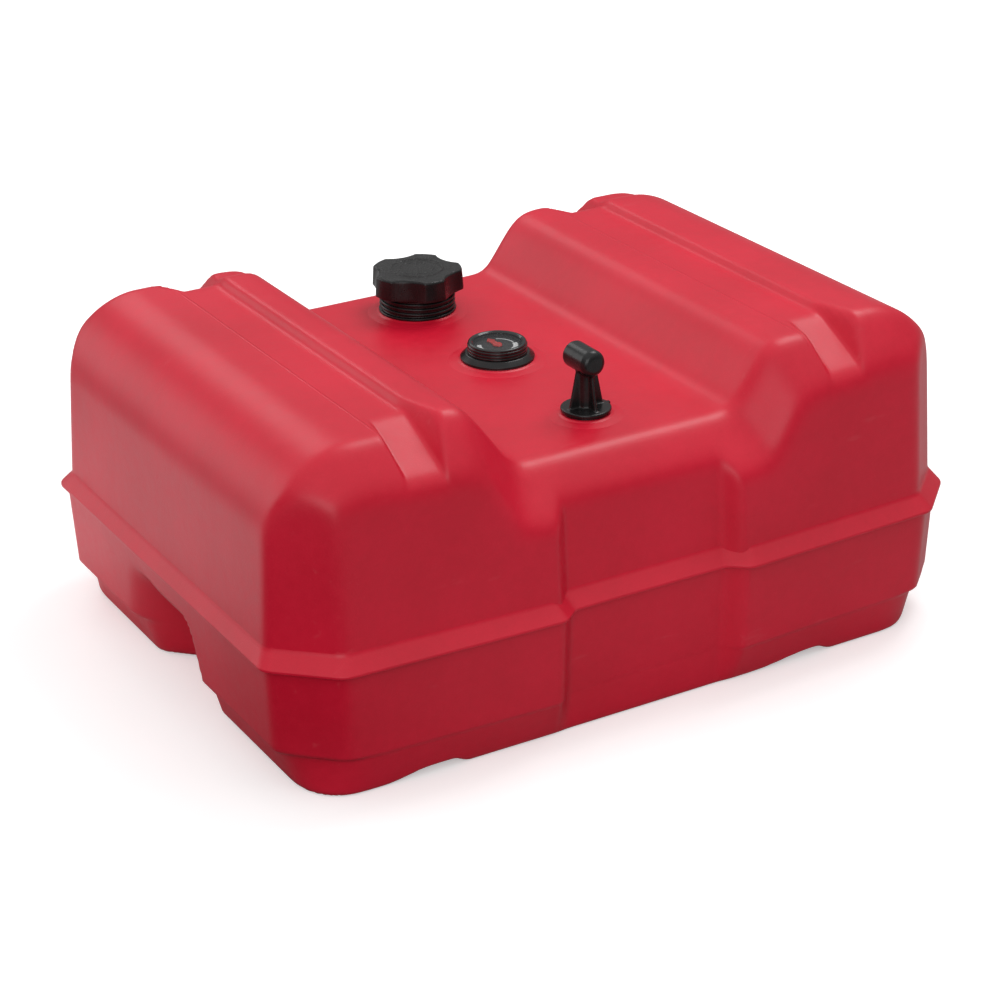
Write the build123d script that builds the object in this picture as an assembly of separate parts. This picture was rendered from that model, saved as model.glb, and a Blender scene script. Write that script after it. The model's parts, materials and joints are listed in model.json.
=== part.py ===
"""Portable outboard fuel tank: blow-moulded shell, vented screw cap, float gauge and swivelling fuel pickup.

Millimetres. +X runs along the tank, +Y across it, +Z up. The origin is the middle of the tank's
footprint, on the surface it stands on.
"""

from build123d import *
import os
from functools import cache
from math import cos, radians, sin, tan

os.makedirs("parts", exist_ok=True)

# ---------------------------------------------------------------- tank
LENGTH = 597.0  # over the flange, along X
DEPTH = 467.0  # over the flange, along Y
WALL = 3.5  # blow-moulded wall
CORNER_X, CORNER_Y = 44.0, 41.0  # corner chamfers of the plan
SWEEP = 7.5  # how far the long sides fall back toward the corners
RECESS = 12.3  # the middle of each long side is set back by this
STEP_OUT, STEP_IN = 81.0, 67.0  # where that recess starts and is full, from the middle
CORNER_ROUND, STEP_ROUND = 9.0, 6.0

FLANGE_Z = 101.5  # underside of the flange
FLANGE_T = 2.6
UPPER_INSET = 10.5  # from the flange's rim to the upper wall
END_GROWTH = 2.5  # the upper wall stands this much nearer to the rim at the tank's ends
LOWER_INSET = 5.2  # from the flange's rim to the lower wall
UPPER_DRAFT = 3.3  # degrees
LOWER_DRAFT = 2.7
CREASE_Z = 32.0  # below it stands the foot
FLANGE_DRAFT = 0.4  # the flange's rim leans in by this over its thickness
LEDGE_INSET, LEDGE_TOP_INSET, LEDGE_H = 0.8, 9.2, 9.0  # sloping ledge from the flange up to the wall
SHELL_TOP_Z = 275.0  # above everything on the shell
PARTING_Z = FLANGE_Z + FLANGE_T / 2  # plane in the flange where the mould's halves meet
SEAM_X = 84.0  # planes at the valley's feet where the upper half is divided into nodes

# ---------------------------------------------------------------- crown: humps, valley, end bevels
LOBE_Z = 254.5  # the lower, strap side of each hump
RIDGE_Z = 261.5  # the higher side, beyond the step
VALLEY_Z = 207.4
HUMP_SLOPE = 54.0  # degrees, from the valley up to a hump
VALLEY_HALF = 94.3  # to the foot of that slope
FOOT_ROUND, BROW_ROUND, RIDGE_BROW_ROUND = 24.0, 33.0, 20.5
SHOULDER_ROUND = 71.0  # outer ends of the humps
STEP_X = (-165.0, 193.0)  # foot of the step on the left and right hump
STEP_LEAN = 12.0  # degrees
BEVEL_Y = 182.0  # the end bevels start here
RIDGE_BACK_Y, RIDGE_BACK_SLOPE = 152.0, 35.0  # at the back the ridges fall away earlier, in degrees
BEVEL_RUN = 31.0  # and reach the wall after this run
LOBE_DROP, RIDGE_DROP, VALLEY_DROP = 32.5, 38.0, 29.5
FOOT_SHIFT = 11.7  # the valley widens by this along the bevel
SHOULDER_SHRINK, BROW_SHRINK, FOOT_SHRINK = 21.0, 8.0, 4.0
CROWN_BASE_Z, CROWN_SLACK = 95.0, 0.5  # the crown's section starts inside the walls and stands clear of them

# ---------------------------------------------------------------- strap ramps, channels, hand-holds
RAMP_W = 27.0
RAMP_Y = 154.0
RAMP_SLOPE = 27.0  # degrees
CHANNEL_H = 6.5  # strap channels under the tank
CHANNELS = ((-216.0, -188.0, -163.0, -152.0), (104.0, 142.0, 160.0, 172.0))
HOLD_TOP_Z, HOLD_TOP_HALF = 82.0, 42.0
HOLD_FOOT_HALF, HOLD_TOP_DROP = 78.0, 26.0  # half width low down, and how much lower the back's top is
HOLD_DEPTH, HOLD_MOUTH_SCALE, HOLD_BACK_SCALE = 42.0, 1.22, 0.46
HOLD_MOUTH_ROUND, HOLD_BACK_ROUND, HOLD_FOOT_Z = 22.0, 9.0, 20.0
CUT_REACH = 60.0  # how far a cutter stands past the surface that it cuts

# ---------------------------------------------------------------- fittings on the valley
CAP_Y, GAUGE_Y, PICKUP_Y = 127.5, -1.0, -129.5
BOSS_H, NECK_BOSS_R, GAUGE_BOSS_R, PICKUP_BOSS_R = 2.2, 32.6, 31.2, 19.6
NECK_HOLE_R, GAUGE_HOLE_R, PICKUP_HOLE_R = 28.0, 22.5, 14.0
DECK_Z = VALLEY_Z + BOSS_H  # seat of every fitting
SLIP = 0.05  # radial clearance of a running fit
GAP = 0.3  # clearance of pieces that only pass each other

# filler neck
NECK_R, NECK_BORE_R, THREAD_R, THREAD_PITCH = 29.2, 25.0, 31.2, 4.0
NECK_SPIGOT_R, NECK_FLANGE_R, NECK_FLANGE_T = 27.7, 31.6, 2.0
NECK_SPIGOT_Z, NECK_RIM_Z = 196.0, 236.0
NECK_RIM_R = 28.0  # the neck tapers to this from the top of its full thread
THREAD_FOOT_Z, THREAD_HEAD_Z = 214.0, 226.0

# cap
CAP_TOP_Z, CAP_SKIRT_Z, CAP_CEILING_Z = 244.2, 227.0, 241.9
CAP_LOBES, CAP_LOBE_HALF, CAP_LOBE_AT = 5, 14.0, 49.0  # number, half width and first place in degrees
CAP_SKIRT_RADII = (36.9, 33.0)  # lobes and scallops at the skirt
CAP_TOP_RADII = (35.6, 30.0)  # and at the top
CAP_EDGE_R = 1.5
CAP_BORE_R, CAP_SEAT_R = 31.6, 29.7  # bore at the skirt and at the gasket
CAP_RING_R, CAP_RING_W, CAP_RING_H = 20.5, 1.6, 0.5
LINER_T, GASKET_T = 2.0, 2.0
LINER_Z = NECK_RIM_Z + GASKET_T
VALVE_CUP_R, VALVE_CUP_Z, VALVE_WALL = 12.0, 214.0, 1.6
SEAT_R, POPPET_R, POPPET_T, STEM_R = 4.0, 7.5, 2.0, 1.9
RETAINER_Z, RETAINER_T, VENT_R = 236.0, 1.6, 1.2
RELIEF_COIL_R, RELIEF_WIRE_R, RELIEF_TURNS = 4.6, 0.5, 6
VACUUM_X, VACUUM_STEM_R, VACUUM_DISC_R, VACUUM_LIFT = 18.5, 1.4, 4.0, 1.2

# gauge
GAUGE_FOOT_R, GAUGE_RIM_R, GAUGE_CONE_H, GAUGE_EDGE_H = 29.0, 24.6, 4.6, 1.0
GAUGE_GASKET_T = 0.8
SPIGOT_R, SPIGOT_BORE_R, SPIGOT_Z = 22.2, 19.6, 190.0
BARB_R, BARB_Z = 23.3, 201.0  # snaps under the tank's wall
WEB_Z, DIAL_R, DIAL_Z, DIAL_T = 214.6, 18.2, 218.2, 0.8
LENS_SEAT_R, LENS_SEAT_Z = 20.6, 221.2
BEZEL_R, BEZEL_TOP_Z, BEZEL_LIP_R, BEZEL_RIBS = 23.4, 224.4, 18.6, 3
LENS_R, LENS_T = 20.4, 1.4
SPINDLE_R, POINTER_Z, POINTER_T, POINTER_L, HUB_R, HUB_H = 1.2, 218.8, 0.8, 14.2, 3.8, 1.6
POINTER_REST = 92.0  # degrees, just past the empty end of the dial
SOCKET_R, SOCKET_Z, SOCKET_H = 3.4, 201.0, 8.0  # slotted socket under the spindle, held by the strip
ROD_R, ROD_X, ROD_FOOT_Z, ROD_BOSS_R, ROD_BOSS_Z = 1.5, 10.0, 8.0, 3.2, 206.0
FOOT_T, FOOT_R = 4.0, 13.5
FLOAT_R, FLOAT_H, FLOAT_BOTTOM_Z, FLOAT_TRAVEL = 17.0, 30.0, 16.0, 140.0
FLOAT_BORE_R, ROD_SLIP = 3.6, 0.1
KEY_R, KEY_T, KEY_SLOT_W = 6.0, 1.5, 0.9
STRIP_W, STRIP_T = 5.0, 0.5
STRIP_TURN = 270.0  # degrees over the float's travel

# pickup
BUSHING_R, BUSHING_BORE_R, BUSHING_Z = 13.8, 9.0, 190.0
BUSHING_FLANGE_R, BUSHING_FLANGE_T = 17.0, 1.2
ELBOW_BASE_R, ELBOW_BASE_T = 19.0, 3.4
POST_FOOT_R, POST_NECK_R, POST_CORE_R, FIN_T = 14.0, 7.1, 5.8, 2.6
BARREL_R, BARREL_Z = 10.3, 250.2
BARREL_BACK, BARREL_FRONT, BARREL_ROUND = 16.5, 14.5, 7.0  # port face and rounded end, from the post
PORT_R, PORT_DEPTH, DUCT_R = 5.55, 12.0, 3.0
SEAL_Z, SEAL_WIRE_R, SEAL_GROOVE_R = 205.6, 0.78, 7.35
CLIP_Z, CLIP_T, CLIP_R, CLIP_GROOVE_R = 188.4, 1.2, 10.6, 8.2
ELBOW_FOOT_Z = 184.0
TUBE_R, TUBE_BORE_R, TUBE_FOOT_Z = 4.75, 3.4, 9.0
CHECK_BORE_R, BALL_R, SEAT_TOP_Z, SEAT_H = 4.8, 4.3, 194.0, 5.0
BALL_SEAT_R = 3.0
CHECK_COIL_R, CHECK_WIRE_R, CHECK_TURNS, CHECK_ROOF_Z = 3.6, 0.35, 5, 209.0
STRAINER_R, STRAINER_H, STRAINER_FOOT_Z, STRAINER_SLOTS = 8.0, 22.0, 5.5, 8


# ================================================================ helpers
def ring(r_out: float, r_in: float, z0: float, z1: float) -> Part:
    """Upright tube from z0 to z1; r_in of 0 makes a disc."""
    body = Pos(0, 0, (z0 + z1) / 2) * Cylinder(r_out, z1 - z0)
    if r_in > 0:
        body -= Pos(0, 0, (z0 + z1) / 2) * Cylinder(r_in, z1 - z0 + 2)
    return body


def turned(points: list) -> Part:
    """Solid of revolution about Z from an (r, z) outline."""
    return revolve(make_face(Polyline(*[(r, 0, z) for r, z in points], close=True)), Axis.Z)


def prism_y(points: list, y0: float, y1: float) -> Part:
    """An (x, z) outline extruded from y0 to y1."""
    face = make_face(Polyline(*[(x, y0, z) for x, z in points], close=True))
    return extrude(face, amount=y1 - y0, dir=(0, 1, 0))


def post(x: float, y: float, radius: float, z0: float, z1: float) -> Part:
    """Round upright bar at (x, y)."""
    return Pos(x, y) * ring(radius, 0, z0, z1)


def around(count: int, radius: float, start: float = 0.0) -> list:
    """Evenly spaced (x, y) places on a circle."""
    angles = [radians(start + 360 * i / count) for i in range(count)]
    return [(radius * cos(a), radius * sin(a)) for a in angles]


def coil(radius: float, wire: float, z0: float, z1: float, turns: float) -> Part:
    """Round-wire compression spring between two heights."""
    path = Pos(0, 0, z0 + wire) * Helix((z1 - z0 - 2 * wire) / turns, z1 - z0 - 2 * wire, radius)
    return sweep(Plane(origin=path @ 0, z_dir=path % 0) * Circle(wire), path=path, is_frenet=True)


# ================================================================ tank shell
# Half length, half depth, sweep of the long sides, recess, corner chamfer in X and Y, corner round
RIM = (LENGTH / 2, DEPTH / 2, SWEEP, RECESS, CORNER_X, CORNER_Y, CORNER_ROUND)
UPPER = (
    LENGTH / 2 + END_GROWTH, DEPTH / 2, SWEEP, RECESS,
    CORNER_X + END_GROWTH, CORNER_Y * (1 + END_GROWTH / CORNER_X), CORNER_ROUND,
)
FOOT_TOP = (282.0, 224.0, 7.0, 11.5, 36.0, 38.0, 16.0)
FOOT = (273.5, 212.8, 1.0, 0.6, 26.0, 28.0, 24.0)


def plan(z: float, inset: float, shape: tuple = RIM) -> Sketch:
    """Outline of the tank at height z, moved in from a shape by inset."""
    hx, hy, sweep, recess, corner_x, corner_y, corner_round = shape
    quadrant = [
        (hx, hy - sweep - corner_y, corner_round),
        (hx - corner_x, hy - sweep, corner_round),
        (STEP_OUT, hy, STEP_ROUND),
        (STEP_IN, hy - recess, STEP_ROUND),
    ]
    upper = quadrant + [(-x, y, r) for x, y, r in reversed(quadrant)]
    corners = upper + [(-x, -y, r) for x, y, r in upper]
    moved = []
    for i, (x, y, _) in enumerate(corners):
        before = Vector(*corners[i - 1][:2])
        after = Vector(*corners[(i + 1) % len(corners)][:2])
        here = Vector(x, y)
        into, out = (here - before).normalized(), (after - here).normalized()
        normal_in, normal_out = Vector(-into.Y, into.X), Vector(-out.Y, out.X)
        mitre = (normal_in + normal_out).normalized()
        moved.append(here + mitre * (inset / mitre.dot(normal_in)))
    outline = FilletPolyline(*[(p.X, p.Y) for p in moved], radius=[r for _, _, r in corners], close=True)
    return Pos(0, 0, z) * make_face(outline)


def wall_x(z: float, inset: float) -> float:
    """Half length of the upper wall at height z."""
    return UPPER[0] - UPPER_INSET - inset - (z - FLANGE_Z) * tan(radians(UPPER_DRAFT))


def crown(y: float, inset: float) -> Face:
    """Section of the humps and valley across X at y, moved in by inset."""
    share = max(0.0, (abs(y) - BEVEL_Y) / BEVEL_RUN)
    lobe = LOBE_Z - LOBE_DROP * share - inset
    ridge = RIDGE_Z - RIDGE_DROP * share - inset
    if y > RIDGE_BACK_Y:
        ridge = RIDGE_Z - (y - RIDGE_BACK_Y) * tan(radians(RIDGE_BACK_SLOPE)) - inset
    valley = VALLEY_Z - VALLEY_DROP * share - inset
    tan_slope = tan(radians(HUMP_SLOPE))
    foot = VALLEY_HALF + FOOT_SHIFT * share + inset * tan(radians(HUMP_SLOPE / 2))
    shoulder = SHOULDER_ROUND - SHOULDER_SHRINK * share - inset
    brow = BROW_ROUND - BROW_SHRINK * share - inset
    ridge_brow = brow * RIDGE_BROW_ROUND / BROW_ROUND
    hollow = FOOT_ROUND - FOOT_SHRINK * share + inset
    base, slack = CROWN_BASE_Z, CROWN_SLACK
    step_l, step_r = (x + inset for x in STEP_X)
    lean = abs(ridge - lobe) * tan(radians(STEP_LEAN))
    outline = [
        (-wall_x(base, inset) - slack, base, 0.0),
        (-wall_x(lobe, inset) - slack, lobe, shoulder),
        (step_l, lobe, 0.0),
        (step_l + lean, ridge, 0.0),
        (-foot - (ridge - valley) / tan_slope, ridge, ridge_brow),
        (-foot, valley, hollow),
        (foot, valley, hollow),
        (foot + (lobe - valley) / tan_slope, lobe, brow),
        (step_r, lobe, 0.0),
        (step_r + lean, ridge, 0.0),
        (wall_x(ridge, inset) + slack, ridge, shoulder),
        (wall_x(base, inset) + slack, base, 0.0),
    ]
    wire = FilletPolyline(*[(x, y, z) for x, z, _ in outline], radius=[r for _, _, r in outline], close=True)
    return make_face(wire).face()


def tank_block(inset: float) -> Part:
    """The tank as a solid block without ramps, hand-holds or channels, moved in by inset."""
    top_inset = UPPER_INSET + (SHELL_TOP_Z - FLANGE_Z) * tan(radians(UPPER_DRAFT))
    crease_inset = LOWER_INSET + (FLANGE_Z - CREASE_Z) * tan(radians(LOWER_DRAFT))
    walls = loft(
        [plan(FLANGE_Z, UPPER_INSET + inset, UPPER), plan(SHELL_TOP_Z, top_inset + inset, UPPER)], ruled=True
    )
    reach = DEPTH / 2 + 2
    caps = [crown(y, inset) for y in (-reach, -BEVEL_Y, RIDGE_BACK_Y, BEVEL_Y, reach)]
    upper = walls & loft(caps, ruled=True)
    crease = plan(CREASE_Z + inset, crease_inset + inset)
    lower = loft([crease, plan(FLANGE_Z, LOWER_INSET + inset)], ruled=True)
    foot = loft([plan(inset, inset, FOOT), plan(CREASE_Z + inset, inset, FOOT_TOP)], ruled=True)
    return foot + lower + upper


def ramps(grow: float) -> list:
    """Cutters for the four strap ramps, grown by grow on every side."""
    cutters = []
    for step_x in STEP_X:
        for side in (-1, 1):
            start_y = side * (RAMP_Y - grow)
            floor_z = LOBE_Z - grow
            top_z = floor_z + CUT_REACH
            lean = CUT_REACH * tan(radians(STEP_LEAN))
            section = [
                (step_x - RAMP_W - grow, floor_z),
                (step_x + grow, floor_z),
                (step_x + grow + lean, top_z),
                (step_x - RAMP_W - grow - lean, top_z),
            ]
            face = make_face(Polyline(*[(x, start_y, z) for x, z in section], close=True))
            slope = radians(RAMP_SLOPE)
            cutters.append(extrude(face, amount=2 * CUT_REACH, dir=(0, side * cos(slope), -sin(slope))))
    return cutters


def hand_holds(grow: float) -> list:
    """Cutters for the two hand-holds, open below, grown by grow."""
    cutters = []
    mouth_x = LENGTH / 2 + 5
    back_x = LENGTH / 2 - LOWER_INSET - HOLD_DEPTH - grow
    for side in (-1, 1):
        sections = []
        for x, scale, round_r in (
            (mouth_x, HOLD_MOUTH_SCALE, HOLD_MOUTH_ROUND),
            (back_x, HOLD_BACK_SCALE, HOLD_BACK_ROUND),
        ):
            top = HOLD_TOP_Z - (1 - min(scale, 1.0)) * HOLD_TOP_DROP + grow
            foot = HOLD_FOOT_HALF * scale + grow
            head = HOLD_TOP_HALF * scale + grow
            outline = [(-foot, -HOLD_FOOT_Z), (foot, -HOLD_FOOT_Z), (head, top), (-head, top)]
            points = [(side * x, y, z) for y, z in outline]
            wire = FilletPolyline(*points, radius=[0, 0, round_r, round_r], close=True)
            sections.append(make_face(wire))
        cutters.append(loft(sections, ruled=True))
    return cutters


def channels(grow: float) -> list:
    """Cutters for the two strap channels under the tank."""
    cutters = []
    for start, full, end, stop in CHANNELS:
        top = CHANNEL_H + grow
        left, right = start - grow, stop + grow
        outline = [(left, -1), (left, 0), (full, top), (end + grow, top), (right, 0), (right, -1)]
        cutters.append(prism_y(outline, -DEPTH / 2, DEPTH / 2))
    return cutters


@cache
def tank_shell() -> Part:
    """Hollow shell: outer form less the same form moved in by the wall, then bosses and holes."""
    ledge_z = FLANGE_Z + FLANGE_T
    flange = loft([plan(FLANGE_Z, 0), plan(ledge_z, FLANGE_DRAFT)], ruled=True)
    ledge = loft([plan(ledge_z, LEDGE_INSET), plan(ledge_z + LEDGE_H, LEDGE_TOP_INSET, UPPER)], ruled=True)
    outer = tank_block(0.0) + flange + ledge
    inner = tank_block(WALL)
    for cutter in ramps(0.0) + hand_holds(0.0) + channels(0.0):
        outer -= cutter
    for cutter in ramps(WALL) + hand_holds(WALL) + channels(WALL):
        inner -= cutter
    shell = outer - inner
    for y, boss_r, hole_r in (
        (CAP_Y, NECK_BOSS_R, NECK_HOLE_R),
        (GAUGE_Y, GAUGE_BOSS_R, GAUGE_HOLE_R),
        (PICKUP_Y, PICKUP_BOSS_R, PICKUP_HOLE_R),
    ):
        shell += Pos(0, y) * ring(boss_r, 0, VALLEY_Z - WALL, DECK_Z)
        shell -= Pos(0, y, VALLEY_Z) * Cylinder(hole_r, 30)
    return shell


@cache
def upper_half() -> Part:
    """The shell above its parting plane; its nodes and the lower half are one moulding."""
    return split(tank_shell(), bisect_by=Plane.XY.offset(PARTING_Z), keep=Keep.TOP)


def tank_hump_left() -> Part:
    """Left hump of the shell."""
    return split(upper_half(), bisect_by=Plane.YZ.offset(-SEAM_X), keep=Keep.BOTTOM)


def tank_hump_right() -> Part:
    """Right hump of the shell."""
    return split(upper_half(), bisect_by=Plane.YZ.offset(SEAM_X), keep=Keep.TOP)


def tank_valley() -> Part:
    """Valley of the shell, with the fittings' bosses and holes."""
    rest = split(upper_half(), bisect_by=Plane.YZ.offset(-SEAM_X), keep=Keep.TOP)
    return split(rest, bisect_by=Plane.YZ.offset(SEAM_X), keep=Keep.BOTTOM)


def tank_lower() -> Part:
    """The shell below its parting plane."""
    return split(tank_shell(), bisect_by=Plane.XY.offset(PARTING_Z), keep=Keep.BOTTOM)


# ================================================================ filler neck
def filler_neck() -> Part:
    """Threaded insert: spigot in the tank's hole, flange on its boss, coarse outer thread, tapered rim."""
    neck = turned([
        (NECK_BORE_R, NECK_SPIGOT_Z), (NECK_SPIGOT_R, NECK_SPIGOT_Z), (NECK_SPIGOT_R, DECK_Z),
        (NECK_FLANGE_R, DECK_Z), (NECK_FLANGE_R, DECK_Z + NECK_FLANGE_T),
        (NECK_R, DECK_Z + NECK_FLANGE_T), (NECK_R, THREAD_HEAD_Z), (NECK_RIM_R, NECK_RIM_Z),
        (NECK_BORE_R, NECK_RIM_Z),
    ])
    root = NECK_R - 0.5
    path = Pos(0, 0, THREAD_FOOT_Z) * Helix(THREAD_PITCH, THREAD_HEAD_Z - THREAD_FOOT_Z, root)
    tooth = [(0, -1.2), (THREAD_R - root, -0.4), (THREAD_R - root, 0.4), (0, 1.2)]
    start = Plane(origin=path @ 0, x_dir=(1, 0, 0), z_dir=path % 0)
    profile = start * make_face(Polyline(*tooth, close=True))
    return neck + sweep(profile, path=path, is_frenet=True)


# ================================================================ cap
def cap_outline(radii: tuple, z: float) -> Sketch:
    """Outline of the cap at height z: broad lobes with hollow scallops between them."""
    lobe_r, scallop_r = radii
    spacing = 360 / CAP_LOBES
    edges = []
    for i in range(CAP_LOBES):
        middle = CAP_LOBE_AT + i * spacing
        places = (
            (lobe_r, middle - CAP_LOBE_HALF), (lobe_r, middle), (lobe_r, middle + CAP_LOBE_HALF),
            (scallop_r, middle + spacing / 2), (lobe_r, middle + spacing - CAP_LOBE_HALF),
        )
        a, b, c, d, e = [(r * cos(radians(t)), r * sin(radians(t))) for r, t in places]
        edges += [ThreePointArc(a, b, c), ThreePointArc(c, d, e)]
    outline = make_face(Wire(edges))
    return Pos(0, 0, z) * fillet(outline.vertices(), CAP_EDGE_R)


def cap_shell() -> Part:
    """Cap with lobes that lean in, a smooth bore that clears the thread and a pressing ring inside."""
    cap = loft([cap_outline(CAP_SKIRT_RADII, CAP_SKIRT_Z), cap_outline(CAP_TOP_RADII, CAP_TOP_Z)])
    cap += ring(CAP_RING_R + CAP_RING_W, CAP_RING_R, CAP_TOP_Z, CAP_TOP_Z + CAP_RING_H)
    cap -= turned([
        (0, CAP_SKIRT_Z - 1), (CAP_BORE_R, CAP_SKIRT_Z - 1), (CAP_BORE_R, CAP_SKIRT_Z),
        (CAP_SEAT_R, NECK_RIM_Z), (CAP_SEAT_R, CAP_CEILING_Z), (0, CAP_CEILING_Z),
    ])
    press = ring(NECK_RIM_R, NECK_RIM_R - 2, LINER_Z + LINER_T, CAP_CEILING_Z)
    press -= Pos(0, 0, CAP_CEILING_Z) * (Box(80, 4, 6) + Box(4, 80, 6))
    return cap + press


def cap_liner() -> Part:
    """Plate that closes the neck, with the relief valve's cup below and the vacuum valve's holes."""
    liner = ring(CAP_SEAT_R - SLIP, 0, LINER_Z, LINER_Z + LINER_T)
    liner += ring(VALVE_CUP_R, 0, VALVE_CUP_Z, LINER_Z)
    liner -= ring(VALVE_CUP_R - VALVE_WALL, 0, VALVE_CUP_Z + VALVE_WALL, LINER_Z + LINER_T + 1)
    liner -= ring(SEAT_R, 0, VALVE_CUP_Z - 1, VALVE_CUP_Z + VALVE_WALL + 1)
    liner -= post(VACUUM_X, 0, VACUUM_STEM_R + SLIP, LINER_Z - 1, LINER_Z + LINER_T + 1)
    for x, y in around(4, 2 * VACUUM_STEM_R, 45):
        liner -= post(VACUUM_X + x, y, 0.7, LINER_Z - 1, LINER_Z + LINER_T + 1)
    for x, y in around(4, CAP_SEAT_R, 45):
        liner -= post(x, y, 1.5, LINER_Z - 1, LINER_Z + LINER_T + 1)
    return liner


def cap_gasket() -> Part:
    return ring(NECK_RIM_R, NECK_BORE_R + 0.5, NECK_RIM_Z, LINER_Z)


def relief_poppet() -> Part:
    """Disc on the cup's seat with a stem up through the retainer."""
    seat_z = VALVE_CUP_Z + VALVE_WALL
    poppet = ring(POPPET_R, 0, seat_z, seat_z + POPPET_T)
    return poppet + ring(STEM_R, 0, seat_z + POPPET_T, RETAINER_Z + RETAINER_T + 1)


def relief_spring() -> Part:
    return coil(RELIEF_COIL_R, RELIEF_WIRE_R, VALVE_CUP_Z + VALVE_WALL + POPPET_T, RETAINER_Z, RELIEF_TURNS)


def relief_retainer() -> Part:
    """Pierced disc pressed into the top of the cup."""
    disc = ring(VALVE_CUP_R - VALVE_WALL - 0.02, STEM_R + SLIP, RETAINER_Z, RETAINER_Z + RETAINER_T)
    for x, y in around(6, 7.4):
        disc -= post(x, y, VENT_R, RETAINER_Z - 1, RETAINER_Z + RETAINER_T + 1)
    return disc


def vacuum_valve() -> Part:
    """Mushroom under the liner that drops to let air in."""
    plate_top = LINER_Z + LINER_T
    valve = ring(VACUUM_DISC_R, 0, LINER_Z - 1, LINER_Z)
    valve += ring(VACUUM_STEM_R, 0, LINER_Z, plate_top + VACUUM_LIFT)
    valve += ring(1.6 * VACUUM_STEM_R, 0, plate_top + VACUUM_LIFT, plate_top + VACUUM_LIFT + 0.6)
    return Pos(VACUUM_X, 0) * valve


# ================================================================ gauge
def gauge_gasket() -> Part:
    return ring(GAUGE_FOOT_R - 0.4, GAUGE_HOLE_R, DECK_Z, DECK_Z + GAUGE_GASKET_T)


def gauge_body() -> Part:
    """Cone on the deck, spigot with a snap barb below, web for the dial and the rods."""
    foot_z = DECK_Z + GAUGE_GASKET_T
    body = turned([
        (SPIGOT_BORE_R, SPIGOT_Z), (SPIGOT_R - 0.6, SPIGOT_Z), (BARB_R, BARB_Z), (BARB_R, BARB_Z + 2),
        (SPIGOT_R, BARB_Z + 2), (SPIGOT_R, foot_z), (GAUGE_FOOT_R, foot_z),
        (GAUGE_FOOT_R, foot_z + GAUGE_EDGE_H), (GAUGE_RIM_R, foot_z + GAUGE_CONE_H),
        (LENS_SEAT_R, foot_z + GAUGE_CONE_H), (LENS_SEAT_R, LENS_SEAT_Z), (DIAL_R + GAP, LENS_SEAT_Z),
        (DIAL_R + GAP, DIAL_Z - DIAL_T), (SPIGOT_BORE_R, WEB_Z),
    ])
    body += ring(SPIGOT_BORE_R + 0.5, SPINDLE_R + SLIP, WEB_Z, DIAL_Z - DIAL_T)
    for x in (-ROD_X, ROD_X):
        body += post(x, 0, ROD_BOSS_R, ROD_BOSS_Z, WEB_Z)
        body -= post(x, 0, ROD_R + SLIP, ROD_BOSS_Z - 1, WEB_Z)
    return body


def gauge_bezel() -> Part:
    """Ribbed ring with a rounded lip that holds the lens down."""
    foot_z = DECK_Z + GAUGE_GASKET_T + GAUGE_CONE_H
    lens_top = LENS_SEAT_Z + LENS_T
    pitch = (lens_top - foot_z) / BEZEL_RIBS
    ribs = []
    for i in range(BEZEL_RIBS):
        z = foot_z + i * pitch
        ribs += [(BEZEL_R, z), (BEZEL_R, z + 0.65 * pitch), (BEZEL_R - 0.8, z + 0.65 * pitch)]
        ribs.append((BEZEL_R - 0.8, z + pitch))
    inner = LENS_SEAT_R + SLIP
    lip = [
        (BEZEL_R - 0.8, lens_top + 0.6), (BEZEL_R - 1.8, BEZEL_TOP_Z - 0.5), (BEZEL_R - 3, BEZEL_TOP_Z),
        (BEZEL_LIP_R + 0.4, BEZEL_TOP_Z - 0.6), (BEZEL_LIP_R, lens_top), (inner, lens_top),
    ]
    return turned([(inner, foot_z)] + ribs + lip)


def gauge_lens() -> Part:
    return ring(LENS_R, 0, LENS_SEAT_Z, LENS_SEAT_Z + LENS_T)


def gauge_dial() -> Part:
    return ring(DIAL_R, SPINDLE_R + GAP, DIAL_Z - DIAL_T, DIAL_Z)


def gauge_pointer() -> Part:
    """Broad arrow on a hub, its spindle through the dial and a slotted socket for the strip."""
    head_x = 0.6 * POINTER_L
    upper = [(POINTER_L, 0), (head_x, 4.4), (head_x, 2.4), (-5, 2.4)]
    arrow = upper + [(x, -y) for x, y in reversed(upper[1:])]
    plate = extrude(make_face(Polyline(*arrow, close=True)), amount=POINTER_T)
    pointer = Pos(0, 0, POINTER_Z) * Rot(0, 0, POINTER_REST) * plate
    pointer += ring(HUB_R, 0, POINTER_Z, POINTER_Z + HUB_H)
    pointer += ring(SPINDLE_R, 0, SOCKET_Z + SOCKET_H, POINTER_Z)
    socket = ring(SOCKET_R, 0, SOCKET_Z, SOCKET_Z + SOCKET_H)
    slot = Box(STRIP_W + 2 * SLIP, STRIP_T + 2 * SLIP, 1.5 * SOCKET_H)
    return pointer + (socket - Pos(0, 0, SOCKET_Z) * Rot(0, 0, strip_angle(SOCKET_Z)) * slot)


def strip_angle(z: float) -> float:
    """Turn of the twisted strip at height z; it is twisted only along the key's travel."""
    start = FLOAT_BOTTOM_Z + FLOAT_H - 1
    along = min(max(z - start, 0.0), FLOAT_TRAVEL + KEY_T + 2)
    return STRIP_TURN * along / FLOAT_TRAVEL


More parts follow.
